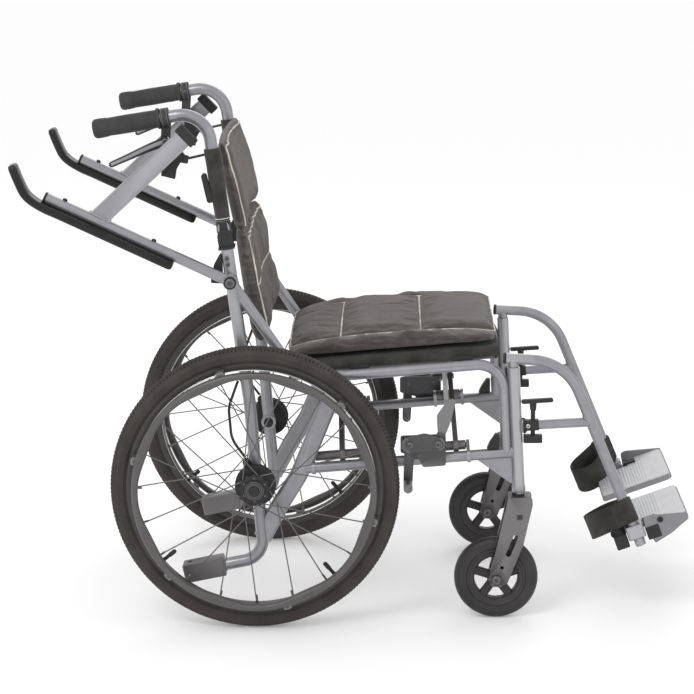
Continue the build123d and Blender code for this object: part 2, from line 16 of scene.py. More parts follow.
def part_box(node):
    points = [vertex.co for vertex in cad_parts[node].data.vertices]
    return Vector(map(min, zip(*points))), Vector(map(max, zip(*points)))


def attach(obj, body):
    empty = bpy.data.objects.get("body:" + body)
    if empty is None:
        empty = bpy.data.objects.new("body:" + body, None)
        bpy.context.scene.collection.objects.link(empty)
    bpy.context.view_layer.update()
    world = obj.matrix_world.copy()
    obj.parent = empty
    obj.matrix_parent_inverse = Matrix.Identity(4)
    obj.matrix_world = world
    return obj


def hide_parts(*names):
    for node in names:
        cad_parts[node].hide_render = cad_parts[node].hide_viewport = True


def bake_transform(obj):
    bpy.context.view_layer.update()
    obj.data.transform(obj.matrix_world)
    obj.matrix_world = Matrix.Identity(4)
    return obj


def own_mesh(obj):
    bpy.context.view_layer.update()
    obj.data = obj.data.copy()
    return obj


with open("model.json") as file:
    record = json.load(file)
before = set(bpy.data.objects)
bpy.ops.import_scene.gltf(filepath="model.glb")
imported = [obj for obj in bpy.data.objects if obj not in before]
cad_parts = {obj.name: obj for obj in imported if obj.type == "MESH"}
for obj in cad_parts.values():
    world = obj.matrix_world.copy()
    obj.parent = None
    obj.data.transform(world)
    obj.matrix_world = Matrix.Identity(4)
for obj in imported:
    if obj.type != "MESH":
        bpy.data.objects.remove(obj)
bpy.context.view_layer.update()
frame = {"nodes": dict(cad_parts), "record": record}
NODES = frame["nodes"]
SCENE = bpy.context.scene
MM = 0.001
SIDES = (("left", 1), ("right", -1))
TAU = 2 * math.pi


# ------------------------------------------------------------------ places, taken from the frame
def middle(node):
    low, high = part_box(node)
    return (low + high) / 2


AXLE = middle("tyre_left")                      # centre of the left rear wheel
CASTOR = middle("castor_tyre_left")
TYRE_R = AXLE.z
WHEEL_Y = AXLE.y
HANDRIM_Y = WHEEL_Y + 35 * MM
FRAME_Y = CASTOR.y
BACK_Y = middle("back_post_left").y
ARM_Y = middle("arm_frame_left").y
PAD_Y = middle("arm_pad_left").y


def at(x, y, z):
    return Vector((AXLE.x + x * MM, y * MM, z * MM))


RAKE = math.radians(4.5)                        # slope of the seat and its rails
ALONG = Vector((math.cos(RAKE), 0, math.sin(RAKE)))
ABOVE = Vector((-math.sin(RAKE), 0, math.cos(RAKE)))
RAILS = at(347, 0, 295.5)


def sideways(y):
    return Vector((0, y, 0))


def radial(angle):
    """Unit vector in the plane of the wheels."""
    return Vector((math.cos(angle), 0, math.sin(angle)))


def mm(pairs):
    """An outline given in millimetres, in metres."""
    return [(a * MM, b * MM) for a, b in pairs]


def rail(v, w, u):
    """A point in the fold linkage's own plane: v sideways, w above the rails, u along them."""
    return RAILS + ALONG * (u * MM) + ABOVE * (w * MM) + sideways(v * MM)


# ------------------------------------------------------------------ materials
def start_material(name, color, roughness, **sockets):
    """Principled material; sockets are constants set by the socket's own name with _ for a space."""
    made = bpy.data.materials.new(name)
    made.use_nodes = True
    shader = made.node_tree.nodes["Principled BSDF"]
    shader.inputs["Base Color"].default_value = (*color, 1)
    shader.inputs["Roughness"].default_value = roughness
    for key, value in sockets.items():
        shader.inputs[key.replace("_", " ")].default_value = value
    return made


def node(tree, kind, **settings):
    made = tree.nodes.new(kind)
    for key, value in settings.items():
        if key in made.inputs:
            made.inputs[key].default_value = value
        else:
            setattr(made, key, value)
    return made


def coordinates(tree, scale=(1, 1, 1)):
    """Object coordinates, which are the frame's, stretched by scale."""
    place = node(tree, "ShaderNodeMapping")
    place.inputs["Scale"].default_value = scale
    tree.links.new(node(tree, "ShaderNodeTexCoord").outputs["Object"], place.inputs["Vector"])
    return place.outputs["Vector"]


def noise(tree, scale, detail=3, stretch=(1, 1, 1)):
    made = node(tree, "ShaderNodeTexNoise", Scale=scale, Detail=detail)
    tree.links.new(coordinates(tree, stretch), made.inputs["Vector"])
    return made.outputs["Fac"]


def wave(tree, scale, direction):
    made = node(tree, "ShaderNodeTexWave", Scale=scale, bands_direction=direction)
    tree.links.new(coordinates(tree), made.inputs["Vector"])
    return made.outputs["Fac"]


def combine(tree, first, second, operation):
    made = node(tree, "ShaderNodeMath", operation=operation)
    for socket, value in zip(made.inputs, (first, second)):
        if isinstance(value, (int, float)):
            socket.default_value = value
        else:
            tree.links.new(value, socket)
    return made.outputs[0]


def ramp(tree, factor, *stops):
    """Colour ramp; each stop is (position, colour)."""
    made = node(tree, "ShaderNodeValToRGB")
    for i, (position, color) in enumerate(stops):
        stop = made.color_ramp.elements[i] if i < 2 else made.color_ramp.elements.new(position)
        stop.position, stop.color = position, (*color, 1)
    tree.links.new(factor, made.inputs["Fac"])
    return made.outputs["Color"]


def tint(color, share):
    return tuple(min(1, c * share) for c in color)


def use_color(made, color):
    made.node_tree.links.new(color, made.node_tree.nodes["Principled BSDF"].inputs["Base Color"])


def use_roughness(made, factor, low, high):
    tree = made.node_tree
    spread = node(tree, "ShaderNodeMapRange")
    spread.inputs["To Min"].default_value, spread.inputs["To Max"].default_value = low, high
    tree.links.new(factor, spread.inputs["Value"])
    tree.links.new(spread.outputs["Result"], tree.nodes["Principled BSDF"].inputs["Roughness"])


def use_bump(made, height, strength, distance):
    tree = made.node_tree
    bump = node(tree, "ShaderNodeBump", Strength=strength, Distance=distance)
    tree.links.new(height, bump.inputs["Height"])
    tree.links.new(bump.outputs["Normal"], tree.nodes["Principled BSDF"].inputs["Normal"])


def edge_highlight(made, color, edge_light, grain):
    """Colour that goes to a lighter colour along sharp edges, a painted highlight, and stays color elsewhere,
    broken up by a grain.
    """
    tree = made.node_tree
    edges = ramp(tree, node(tree, "ShaderNodeNewGeometry").outputs["Pointiness"], (0.52, (0, 0, 0)),
                 (0.60, (1, 1, 1)))
    base = ramp(tree, grain, (0.3, tint(color, 0.92)), (0.7, tint(color, 1.08)))
    mix = node(tree, "ShaderNodeMix", data_type="RGBA")
    tree.links.new(combine(tree, edges, 0.6, "MULTIPLY"), mix.inputs["Factor"])
    tree.links.new(base, mix.inputs["A"])
    mix.inputs["B"].default_value = (*edge_light, 1)
    use_color(made, mix.outputs["Result"])


def painted(name, color, roughness, metallic, edge_light):
    made = start_material(name, color, roughness, Metallic=metallic, Coat_Weight=0.25, Coat_Roughness=0.25)
    tree = made.node_tree
    # painted highlight: the last colour lightens every sharp edge
    edge_highlight(made, color, edge_light, noise(tree, 45, 4))
    use_roughness(made, noise(tree, 120, 3), roughness - 0.06, roughness + 0.08)
    use_bump(made, noise(tree, 1600, 2), 0.12, 0.0002)
    return made


def moulded(name, color, roughness, grain_scale=1400, relief=0.35):
    """Moulded plastic or rubber with a fine grain and a little dust."""
    made = start_material(name, color, roughness, Specular_IOR_Level=0.3)
    tree = made.node_tree
    dust = noise(tree, 24, 5)
    use_color(made, ramp(tree, dust, (0.35, tint(color, 0.85)), (0.75, tint(color, 1.35))))
    use_roughness(made, noise(tree, 70, 4), roughness - 0.08, roughness + 0.10)
    use_bump(made, noise(tree, grain_scale, 2), relief, 0.0003)
    return made


def bare_metal(name, color, roughness, stretch=(1, 1, 1)):
    made = start_material(name, color, roughness, Metallic=1.0)
    tree = made.node_tree
    brushed = noise(tree, 300, 3, stretch)
    use_color(made, ramp(tree, brushed, (0.3, tint(color, 0.85)), (0.7, tint(color, 1.1))))
    use_roughness(made, brushed, roughness - 0.05, roughness + 0.12)
    use_bump(made, brushed, 0.08, 0.0001)
    return made


def woven(name, color, thread, streak, sheen=0.25, relief=0.6):
    """Plain weave of crossing threads, with long streaks of lighter and darker yarn."""
    made = start_material(name, color, 0.85, Sheen_Weight=sheen, Sheen_Roughness=0.5,
                          Specular_IOR_Level=0.25)
    tree = made.node_tree
    across = wave(tree, 1 / thread, "X")
    sideways = wave(tree, 1 / thread, "Y")
    upright = wave(tree, 1 / thread, "Z")
    weave = combine(tree, combine(tree, across, sideways, "MULTIPLY"), upright, "ADD")
    streaks = noise(tree, 30, 6, streak)
    patches = noise(tree, 9, 3)
    blend = combine(tree, combine(tree, streaks, 0.75, "MULTIPLY"),
                    combine(tree, patches, 0.25, "MULTIPLY"), "ADD")
    use_color(made, ramp(tree, blend, (0.34, tint(color, 0.55)), (0.5, color), (0.68, tint(color, 1.75))))
    height = combine(tree, combine(tree, weave, 0.5, "MULTIPLY"), streaks, "ADD")
    use_bump(made, height, relief, 0.0006)
    return made


SILVER = (0.275, 0.275, 0.292)
# The last colour given to painted() is a painted highlight along sharp edges.
MATERIALS = {
    "frame_paint": painted("frame_paint", SILVER, 0.32, 0.6, (0.45, 0.45, 0.47)),
    "brace_paint": painted("brace_paint", (0.115, 0.107, 0.107), 0.42, 0.2, (0.2, 0.19, 0.19)),
    "black_plastic": moulded("black_plastic", (0.022, 0.0215, 0.022), 0.5),
    "tyre_rubber": moulded("tyre_rubber", (0.040, 0.035, 0.033), 0.66, 900, 0.5),
    "dark_rim": painted("dark_rim", (0.045, 0.041, 0.04), 0.38, 0.4, (0.3, 0.29, 0.28)),
    "spoke_steel": bare_metal("spoke_steel", (0.16, 0.155, 0.155), 0.38, (1, 1, 1)),
    "handrim_grey": painted("handrim_grey", (0.075, 0.070, 0.070), 0.44, 0.25, (0.3, 0.29, 0.29)),
    "fork_grey": painted("fork_grey", (0.052, 0.048, 0.049), 0.38, 0.35, (0.22, 0.21, 0.21)),
    "castor_rubber": moulded("castor_rubber", (0.030, 0.028, 0.028), 0.42, 1100, 0.3),
    "castor_plastic": moulded("castor_plastic", (0.033, 0.030, 0.030), 0.42, 1500, 0.25),
    "lock_grey": painted("lock_grey", (0.060, 0.057, 0.060), 0.40, 0.3, (0.25, 0.25, 0.25)),
    "grip_rubber": moulded("grip_rubber", (0.042, 0.040, 0.040), 0.60, 800, 0.5),
    "arm_pad_foam": moulded("arm_pad_foam", (0.010, 0.0105, 0.0098), 0.26, 1000, 0.06),
    "footplate_plastic": painted("footplate_plastic", (0.47, 0.47, 0.485), 0.36, 0.1, (0.6, 0.6, 0.61)),
    "webbing": woven("webbing", (0.034, 0.033, 0.031), 0.0030, (1, 1, 1), 0.1, 0.9),
    "cable_jacket": moulded("cable_jacket", (0.02, 0.02, 0.02), 0.4, 2000, 0.15),
    "upholstery": woven("upholstery", (0.066, 0.057, 0.052), 0.0016, (1, 5, 5)),
    "bolster": woven("bolster", (0.070, 0.060, 0.058), 0.0016, (1, 2, 4), 0.3, 0.5),
    "piping": woven("piping", (0.56, 0.53, 0.49), 0.0012, (1, 1, 1), 0.2, 0.5),
    "bare_steel": bare_metal("bare_steel", (0.55, 0.55, 0.56), 0.3),
    # Painted shade: a darker copy of the footplate plastic for the tray's sides and underside.
    "skirt_grey": painted("skirt_grey", (0.17, 0.17, 0.185), 0.42, 0.2, (0.3, 0.3, 0.31)),
    "sleeve_fabric": woven("sleeve_fabric", (0.036, 0.034, 0.033), 0.0014, (1, 1, 1), 0.15, 0.4),
    "back_fabric": woven("back_fabric", (0.072, 0.061, 0.053), 0.0016, (5, 5, 1)),
    # Painted highlight: bright metal for the thin rings on the rim's lips.
    "bright_edge": bare_metal("bright_edge", (0.62, 0.60, 0.58), 0.28),
    "floor": start_material("floor", (0.90, 0.895, 0.895), 0.8, Emission_Color=(1, 1, 1, 1),
                            Emission_Strength=0.12),
}


def paint_cad_nodes():
    """Every CAD node shows the material of its slot in the record."""
    for part in frame["record"]["subparts"]:
        shown = NODES[part["node"]]
        shown.data.materials.clear()
        shown.data.materials.append(MATERIALS[part["material_slot"]])


# ------------------------------------------------------------------ mesh helpers
def add_mesh(name, points, faces, material, body=None, slot=None, sharp=35):
    """A new piece, smooth except along edges sharper than sharp degrees, riding on a CAD body."""
    mesh = bpy.data.meshes.new(name)
    mesh.from_pydata([tuple(p) for p in points], [], faces)
    work = bmesh.new()
    work.from_mesh(mesh)
    bmesh.ops.recalc_face_normals(work, faces=work.faces)
    work.to_mesh(mesh)
    work.free()
    mesh.polygons.foreach_set("use_smooth", [True] * len(mesh.polygons))
    mesh.set_sharp_from_angle(angle=math.radians(sharp))
    made = bpy.data.objects.new(name, mesh)
    SCENE.collection.objects.link(made)
    mesh.materials.append(MATERIALS[material])
    if body:
        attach(made, body)
    return made


def skin(rings, closed_ring=True, closed_path=False, caps=True):
    """Points and faces of a surface through rings of equal length."""
    count, size = len(rings), len(rings[0])
    points = [p for ring in rings for p in ring]
    faces = []
    for i in range(count if closed_path else count - 1):
        for j in range(size if closed_ring else size - 1):
            k, m = (i + 1) % count, (j + 1) % size
            faces.append((i * size + j, i * size + m, k * size + m, k * size + j))
    if caps and not closed_path and closed_ring:
        faces.append(tuple(reversed(range(size))))
        faces.append(tuple((count - 1) * size + j for j in range(size)))
    return points, faces


def merged(shapes):
    """Several (points, faces) as one."""
    points, faces = [], []
    for more_points, more_faces in shapes:
        start = len(points)
        points += list(more_points)
        faces += [tuple(start + i for i in face) for face in more_faces]
    return points, faces


def side_mesh(name, side, shapes, material, body, slot=None, sharp=35):
    """One piece made of several shapes for one side of the chair, riding on that side's body."""
    return add_mesh(f"{name}_{side}", *merged(shapes), material, f"{body}_{side}", slot or material, sharp)


def turned(profile, centre, axis, steps=64, closed=True):
    """Surface of revolution: profile is (along, radius) in metres about axis through centre."""
    axis = Vector(axis).normalized()
    side = axis.orthogonal().normalized()
    other = axis.cross(side)
    rings = []
    for i in range(steps):
        angle = TAU * i / steps
        out = side * math.cos(angle) + other * math.sin(angle)
        rings.append([centre + axis * a + out * r for a, r in profile])
    return skin(rings, closed_ring=closed, closed_path=True)


def rounded(profile, radius, steps=3):
    """A closed 2-D outline with its corners rounded."""
    made = []
    count = len(profile)
    for i in range(count):
        before, here, after = (Vector(profile[(i + k) % count]) for k in (-1, 0, 1))
        back, ahead = before - here, after - here
        cut = min(radius, back.length * 0.45, ahead.length * 0.45)
        start, end = here + back.normalized() * cut, here + ahead.normalized() * cut
        for k in range(steps + 1):
            t = k / steps
            made.append(tuple(start * (1 - t) ** 2 + here * 2 * t * (1 - t) + end * t ** 2))
    return made


def mirrored(half):
    """The half outline followed by its mirror image about the middle."""
    return half + [(-a, b) for a, b in reversed(half)]


def smooth_path(points, steps=8):
    """Catmull-Rom line through the points."""
    points = [Vector(p) for p in points]
    ends = [points[0] * 2 - points[1]] + points + [points[-1] * 2 - points[-2]]
    made = []
    for a, b, c, d in zip(ends, ends[1:], ends[2:], ends[3:]):
        for k in range(steps):
            t = k / steps
            made.append(0.5 * (2 * b + (c - a) * t + (2 * a - 5 * b + 4 * c - d) * t * t
                               + (3 * b - a - 3 * c + d) * t ** 3))
    return made + [points[-1]]


def swept(path, section, up=(0, 1, 0), closed=False, caps=True):
    """A section carried along a path; section(share) gives its (side, up) outline in metres."""
    path = [Vector(p) for p in path]
    up = Vector(up)
    rings = []
    for i, here in enumerate(path):
        before = path[i - 1] if i or closed else path[0]
        after = path[(i + 1) % len(path)] if i + 1 < len(path) or closed else path[-1]
        forward = (after - before).normalized()
        side = forward.cross(up).normalized()
        top = side.cross(forward)
        rings.append([here + side * a + top * b for a, b in section(i / (len(path) - 1))])
    return skin(rings, closed_path=closed, caps=caps)


def circle(radius, steps=10):
    return [(radius * math.cos(TAU * k / steps), radius * math.sin(TAU * k / steps)) for k in range(steps)]


def oval(half_wide, half_high, power=2.6, steps=28):
    """Superellipse outline."""
    made = []
    for k in range(steps):
        c, s = math.cos(TAU * k / steps), math.sin(TAU * k / steps)
        made.append((half_wide * math.copysign(abs(c) ** (2 / power), c),
                     half_high * math.copysign(abs(s) ** (2 / power), s)))
    return made


def plate(outline, origin, right, up, thickness, bevel):
    """Flat piece with rounded edges: outline in metres in the plane of right and up."""
    right, up = Vector(right).normalized(), Vector(up).normalized()
    out = right.cross(up)
    middle_point = sum((Vector(p) for p in outline), Vector((0, 0))) / len(outline)

    def ring(depth, inset):
        made = []
        for p in outline:
            p = Vector(p)
            p = p + (middle_point - p).normalized() * inset
            made.append(origin + right * p.x + up * p.y + out * depth)
        return made

    half = thickness / 2
    return skin([ring(-half, bevel), ring(-half + bevel, 0), ring(half - bevel, 0), ring(half, bevel)])


def bolt_head(centre, axis, radius, height):
    """Button head with a hexagon socket."""
    profile = [(0, 0), (0, radius), (height * 0.45, radius), (height * 0.85, radius * 0.8),
               (height, radius * 0.55), (height, radius * 0.42), (height * 0.35, radius * 0.42),
               (height * 0.35, 0)]
    return turned(profile, centre, axis, 24, closed=False)


# ------------------------------------------------------------------ camera, floor and light
def set_camera():
    """The view that the chair is pictured from: from its right side, slightly above."""
    place = Vector((AXLE.x + 0.2492, -4.4121, 1.4016))
    yaw, pitch, roll = math.radians(1.183), math.radians(12.188), math.radians(-0.4375)
    forward = Vector((-math.sin(yaw) * math.cos(pitch), math.cos(yaw) * math.cos(pitch), -math.sin(pitch)))
    level = Vector((math.cos(yaw), math.sin(yaw), 0))
    above = level.cross(forward)
    right = level * math.cos(roll) + above * math.sin(roll)
    up = above * math.cos(roll) - level * math.sin(roll)
    data = bpy.data.cameras.new("camera")
    data.lens, data.sensor_width = 126.7, 36
    camera = bpy.data.objects.new("camera", data)
    SCENE.collection.objects.link(camera)
    turn = Matrix((right, up, -forward)).transposed()
    camera.matrix_world = Matrix.Translation(place) @ turn.to_4x4()
    SCENE.camera = camera


def add_light(name, place, target, size, power):
    data = bpy.data.lights.new(name, "AREA")
    data.shape, data.size, data.energy = "DISK", size, power
    lamp = bpy.data.objects.new(name, data)
    SCENE.collection.objects.link(lamp)
    lamp.location = place
    lamp.rotation_euler = (Vector(target) - Vector(place)).to_track_quat("-Z", "Y").to_euler()


def set_stage():
    far = 40
    corners = [(-far, -far, 0), (far, -far, 0), (far, far, 0), (-far, far, 0)]
    add_mesh("floor", corners, [(0, 1, 2, 3)], "floor")
    world = bpy.data.worlds.new("studio")
    world.use_nodes = True
    world.node_tree.nodes["Background"].inputs["Color"].default_value = (1, 1, 1, 1)
    world.node_tree.nodes["Background"].inputs["Strength"].default_value = 0.95
    SCENE.world = world
    centre = (0, 0, 0.45)
    add_light("key", (-1.4, -2.6, 3.2), centre, 1.6, 34)
    add_light("fill", (2.8, -2.2, 1.6), centre, 2.0, 8)
    add_light("back", (0.5, 3.0, 2.8), centre, 2.2, 20)
    SCENE.view_settings.view_transform = "Standard"


# ------------------------------------------------------------------ rear wheels
def tyre(side, sign):
    """Tyre with three ribs of small blocks, shoulder notches and two fine lines round each wall."""
    blocks, per_block = 216, 4
    centre = Vector((AXLE.x, sign * WHEEL_Y, AXLE.z))
    base = TYRE_R - 255 * MM
    outline = [(-9.2, 218.6), (-9.4, 222), (-12.6, 226), (-15.2, 230.2), (-15.9, 231), (-16.3, 230.8),
               (-16.8, 235), (-16.7, 240), (-16.9, 241.2), (-16.2, 242.2), (-15.2, 245.5), (-13.6, 248.8),
               (-13.4, 249.2), (-9.8, 252.2), (-9.4, 252.4), (-8.8, 252.6), (-5.2, 253.9), (-4.8, 254.0),
               (-4.2, 254.1), (-1.4, 254.5), (0, 254.6)]
    outline += [(-a, r) for a, r in reversed(outline[:-1])]
    grooves = {15: 1.5, 18: 1.3}
    rings = []
    for i in range(blocks * per_block):
        angle = TAU * i / (blocks * per_block)
        ring = []
        for j, (across, radius) in enumerate(outline):
            k = min(j, len(outline) - 1 - j)
            shoulder = 12 <= k <= 15
            crown = k > 15
            phase = (i + (per_block // 2 if crown else 0)) % per_block
            sunk = grooves.get(k, 0.0)
            if (shoulder or crown) and phase == 0:
                sunk = 2.6 if shoulder else 1.4
            r = base + (radius - sunk) * MM
            a = across * (1 - (0.07 if shoulder and phase == 0 else 0)) * MM
            ring.append(centre + Vector((r * math.cos(angle), a, r * math.sin(angle))))
        rings.append(ring)
    piece = side_mesh("tyre_tread", side, [skin(rings, closed_path=True)], "tyre_rubber", "wheel", sharp=28)
    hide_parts(f"tyre_{side}")


def wheel_rim(side, sign):
    """Double-walled rim with raised lips, thin bright rings on the lips as painted highlights, spoke nipples
    and a valve.
    """
    centre = Vector((AXLE.x, sign * WHEEL_Y, AXLE.z))
    axis = (0, sign, 0)
    outline = rounded([(-12, 214.5), (-8, 211.6), (8, 211.6), (12, 214.5), (12.4, 229.2), (10.2, 229.8),
                       (9.6, 219.4), (-9.6, 219.4), (-10.2, 229.8), (-12.4, 229.2)], 1.4)
    rim = side_mesh("rim_shell", side, [turned(mm(outline), centre, axis, 160)], "dark_rim", "wheel")
    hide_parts(f"rim_{side}")
    # Thin bright rings along the lips: painted highlights on the dark rim.
    lips = []
    for across, radius, thick in ((12.3, 229.4, 0.75), (-12.3, 229.4, 0.75),
                                  (11.4, 213.6, 0.6), (-11.4, 213.6, 0.6)):
        ring = [((across + a * thick) * MM, (radius + b * thick) * MM) for a, b in circle(1, 6)]
        lips.append(turned(ring, centre, axis, 160))
    side_mesh("rim_lip_highlights", side, lips, "bright_edge", "wheel", "dark_rim")
    nipples = []
    for i in range(20):
        angle = TAU * i / 20
        out = radial(angle)
        foot = centre + out * (212.5 * MM) + sideways((-3 if i % 2 == 0 else 3) * MM)
        profile = mm([(0, 3.2), (2, 3.0), (2.6, 2.1), (13, 1.9), (14, 1.2)])
        nipples.append(turned(profile, foot, -out, 8, closed=False))
    side_mesh("spoke_nipples", side, nipples, "spoke_steel", "wheel")
    valves = []
    for angle in (math.radians(219), math.radians(311)):
        out = radial(angle)
        foot = centre + out * (212.5 * MM)
        profile = [(0, 0), (0, 5), (2.5, 5), (3.5, 3.4), (15, 3.2), (15.5, 4.1), (27, 3.9),
                   (29.5, 2.6), (30, 0)]
        valves.append(turned(mm(profile), foot, -out, 14, closed=False))
    side_mesh("valve_stems", side, valves, "black_plastic", "wheel")


def hand_rim(side, sign):
    """Hand rim with eight finger swells, on six brackets with a screw each."""
    lobes, steps = 8, 192
    first = math.radians(25)
    centre = Vector((AXLE.x, sign * HANDRIM_Y, AXLE.z))
    outer = 215.2
    rings = []
    for i in range(steps):
        angle = TAU * i / steps
        swell = (0.5 + 0.5 * math.cos(lobes * (angle - first))) ** 1.4
        half = 6.0 + 2.8 * swell
        rings.append([centre + Vector(((outer - half + b) * MM * math.cos(angle), a * MM,
                                       (outer - half + b) * MM * math.sin(angle)))
                      for a, b in oval(8.2, half, 2.4, 20)])
    shapes = [skin(rings, closed_path=True)]
    screws = []
    for i in range(6):
        angle = -(TAU * i / 6 + math.radians(15))
        out = radial(angle)
        block = rounded([(-7, -5.5), (7, -5.5), (7, 5.5), (-7, 5.5)], 2)
        path = [centre + out * (216 * MM) - sideways(sign * d * MM) for d in (2, 8, 15, 22.6)]
        shapes.append(swept(path, lambda share: mm(block), up=out))
        screws.append(bolt_head(centre + out * (221.8 * MM) - sideways(sign * 9 * MM), out, 3 * MM, 2 * MM))
        end = centre + out * (216 * MM) + sideways(sign * MM)
        screws.append(bolt_head(end, (0, sign, 0), 3 * MM, 1.6 * MM))
    ring = side_mesh("hand_rim", side, shapes, "handrim_grey", "wheel")
    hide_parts(f"handrim_{side}")
    side_mesh("hand_rim_screws", side, screws, "lock_grey", "wheel", "handrim_grey")


def hub_trim(side, sign):
    """Scalloped hub face, ringed cap and the brake drum's cooling ribs."""
    centre = Vector((AXLE.x, 0, AXLE.z))
    axis = sideways(sign)

    def scalloped(depth, radius, wobble, lobes=12, steps=144):
        made = []
        for i in range(steps):
            angle = TAU * i / steps
            r = (radius + wobble * math.cos(lobes * angle)) * MM
            made.append(centre + axis * (depth * MM) + Vector((r * math.cos(angle), 0, r * math.sin(angle))))
        return made

    face = skin([scalloped(284.6, 19, 0), scalloped(284.8, 25.2, 1.2), scalloped(286, 26.4, 1.4),
                 scalloped(288.6, 26.2, 1.4), scalloped(289.6, 24.8, 1.0), scalloped(290.2, 19, 0)])
    ribs = [turned([(y * MM, 34.5 * MM), ((y + 0.3) * MM, 36.2 * MM), ((y + 2.2) * MM, 36.2 * MM),
                    ((y + 2.5) * MM, 34.5 * MM)], centre, axis, 72) for y in (246, 250.5, 255, 259.5)]
    side_mesh("hub_face", side, [face] + ribs, "black_plastic", "wheel")
    rings = []
    for radius, lift in ((16.2, 296.2), (13.2, 298.2), (10.6, 298.2)):
        outline = [((lift + a) * MM, (radius + b) * MM) for a, b in circle(0.7, 8)]
        rings.append(turned(outline, centre, axis, 64))
    side_mesh("hub_cap_rings", side, rings, "lock_grey", "wheel")
    screws = []
    for i in range(6):
        angle = TAU * (i + 0.5) / 6
        spot = Vector((20.8 * MM * math.cos(angle), 290 * sign * MM, 20.8 * MM * math.sin(angle)))
        screws.append(bolt_head(centre + spot, axis, 1.9 * MM, 1.1 * MM))
    side_mesh("hub_screws", side, screws, "lock_grey", "wheel", "black_plastic")


# ------------------------------------------------------------------ castors
def castor_wheel(side, sign):
    centre = Vector((CASTOR.x, sign * CASTOR.y, CASTOR.z))
    axis = (0, sign, 0)
    outline = rounded(mirrored([(-9.5, 52.3), (-12.2, 53), (-13.6, 58), (-13.9, 62), (-13.4, 66.5),
                                (-12.7, 66.2), (-10.5, 71), (-6, 74), (-3.2, 74.8), (-2.6, 74.0)]), 1.2, 2)
    tread = side_mesh("castor_tread", side, [turned(mm(outline), centre, axis, 120)], "castor_rubber",
                      "castor_wheel", sharp=40)
    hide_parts(f"castor_tyre_{side}")
    felloe = rounded(mirrored([(-11, 53), (-12.4, 52), (-12.4, 49.4), (-10.6, 47.6), (-10.0, 41),
                               (-7.4, 38.6)]), 0.7, 2)
    boss = rounded(mirrored([(-15, 4.2), (-15, 10), (-11, 16)]), 1.5, 3)
    shapes = [turned(mm(felloe), centre, axis, 96), turned(mm(boss), centre, axis, 48)]
    for i in range(5):
        angle = TAU * i / 5 + math.radians(90)
        out = radial(angle)
        path = [centre + out * (r * MM) for r in (10, 16, 22, 28, 34, 41)]

        def section(share):
            return mm(oval(8.0, 8.2 - 2.4 * math.sin(math.pi * share), 3.2, 20))
        shapes.append(swept(path, section))
    wheel = side_mesh("castor_rim", side, shapes, "castor_plastic", "castor_wheel")
    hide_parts(f"castor_wheel_{side}")


def castor_trim(side, sign):
    """Bearing cup under the front post, and the fork's axle nuts."""
    stem = at(465, 0, 0) + sideways(sign * FRAME_Y)
    cup = turned(mm([(227.4, 6.6), (227.4, 10.4), (231, 10.8), (232, 9), (232, 6.6)]), stem, (0, 0, 1), 40)
    side_mesh("castor_bearing", side, [cup], "black_plastic", "frame")
    profile = mm([(0, 6.6), (0, 11.4), (1, 12.1), (11, 12.1), (12, 11.2), (12, 6.6)])
    sleeve = turned(profile, stem + Vector((0.001, 0, 0.232)), (-0.048, 0, 1), 40)
    side_mesh("castor_housing", side, [sleeve], "frame_paint", "frame")
    axle = Vector((CASTOR.x, sign * CASTOR.y, CASTOR.z))
    heads = [bolt_head(axle + sideways(s * 25.4 * MM), (0, s, 0), 6.6 * MM, 3 * MM) for s in (-1, 1)]
    side_mesh("castor_nuts", side, heads, "lock_grey", "castor_fork", "fork_grey")


# ------------------------------------------------------------------ soft goods
def inflate(piece, pinned, pressure, cap, frames=20):
    """Blows a closed mesh up as cloth under pressure, with some points held and the travel capped."""
    group = piece.vertex_groups.new(name="pinned")
    group.add([int(i) for i in pinned], 1.0, "REPLACE")
    cloth = piece.modifiers.new("cloth", "CLOTH")
    settings = cloth.settings
    settings.quality, settings.mass = 5, 0.3
    settings.tension_stiffness = settings.compression_stiffness = 12
    settings.shear_stiffness, settings.bending_stiffness = 4, 0.4
    settings.use_pressure, settings.uniform_pressure_force = True, pressure
    settings.shrink_min = -0.035
    settings.vertex_group_mass = "pinned"
    settings.effector_weights.gravity = 0
    cloth.point_cache.frame_start, cloth.point_cache.frame_end = 1, frames
    for step in range(1, frames + 1):
        SCENE.frame_set(step)
    ready = piece.evaluated_get(bpy.context.evaluated_depsgraph_get())
    count = len(piece.data.vertices)
    before, after = np.zeros(count * 3), np.zeros(count * 3)
    piece.data.vertices.foreach_get("co", before)
    ready.data.vertices.foreach_get("co", after)
    moved = (after - before).reshape(-1, 3)
    far = np.linalg.norm(moved, axis=1, keepdims=True)
    moved *= np.minimum(1, cap / np.maximum(far, 1e-9))
    piece.modifiers.remove(cloth)
    piece.vertex_groups.clear()
    piece.data.vertices.foreach_set("co", before + moved.ravel())
    SCENE.frame_set(1)


def remesh(piece, voxel):
    change = piece.modifiers.new("remesh", "REMESH")
    change.mode, change.voxel_size = "VOXEL", voxel
    apply_modifiers(piece)


def subdivide(piece, levels=1):
    change = piece.modifiers.new("subdivide", "SUBSURF")
    change.levels = change.render_levels = levels
    apply_modifiers(piece)


def apply_modifiers(piece):
    ready = piece.evaluated_get(bpy.context.evaluated_depsgraph_get())
    mesh = bpy.data.meshes.new_from_object(ready)
    piece.modifiers.clear()
    old = piece.data
    piece.data = mesh
    bpy.data.meshes.remove(old)
    mesh.name = piece.name


def coords(piece):
    made = np.zeros(len(piece.data.vertices) * 3)
    piece.data.vertices.foreach_get("co", made)
    return made.reshape(-1, 3)


def set_coords(piece, points):
    piece.data.vertices.foreach_set("co", points.ravel())
    piece.data.update()


def smooth_all(piece):
    piece.data.polygons.foreach_set("use_smooth", [True] * len(piece.data.polygons))


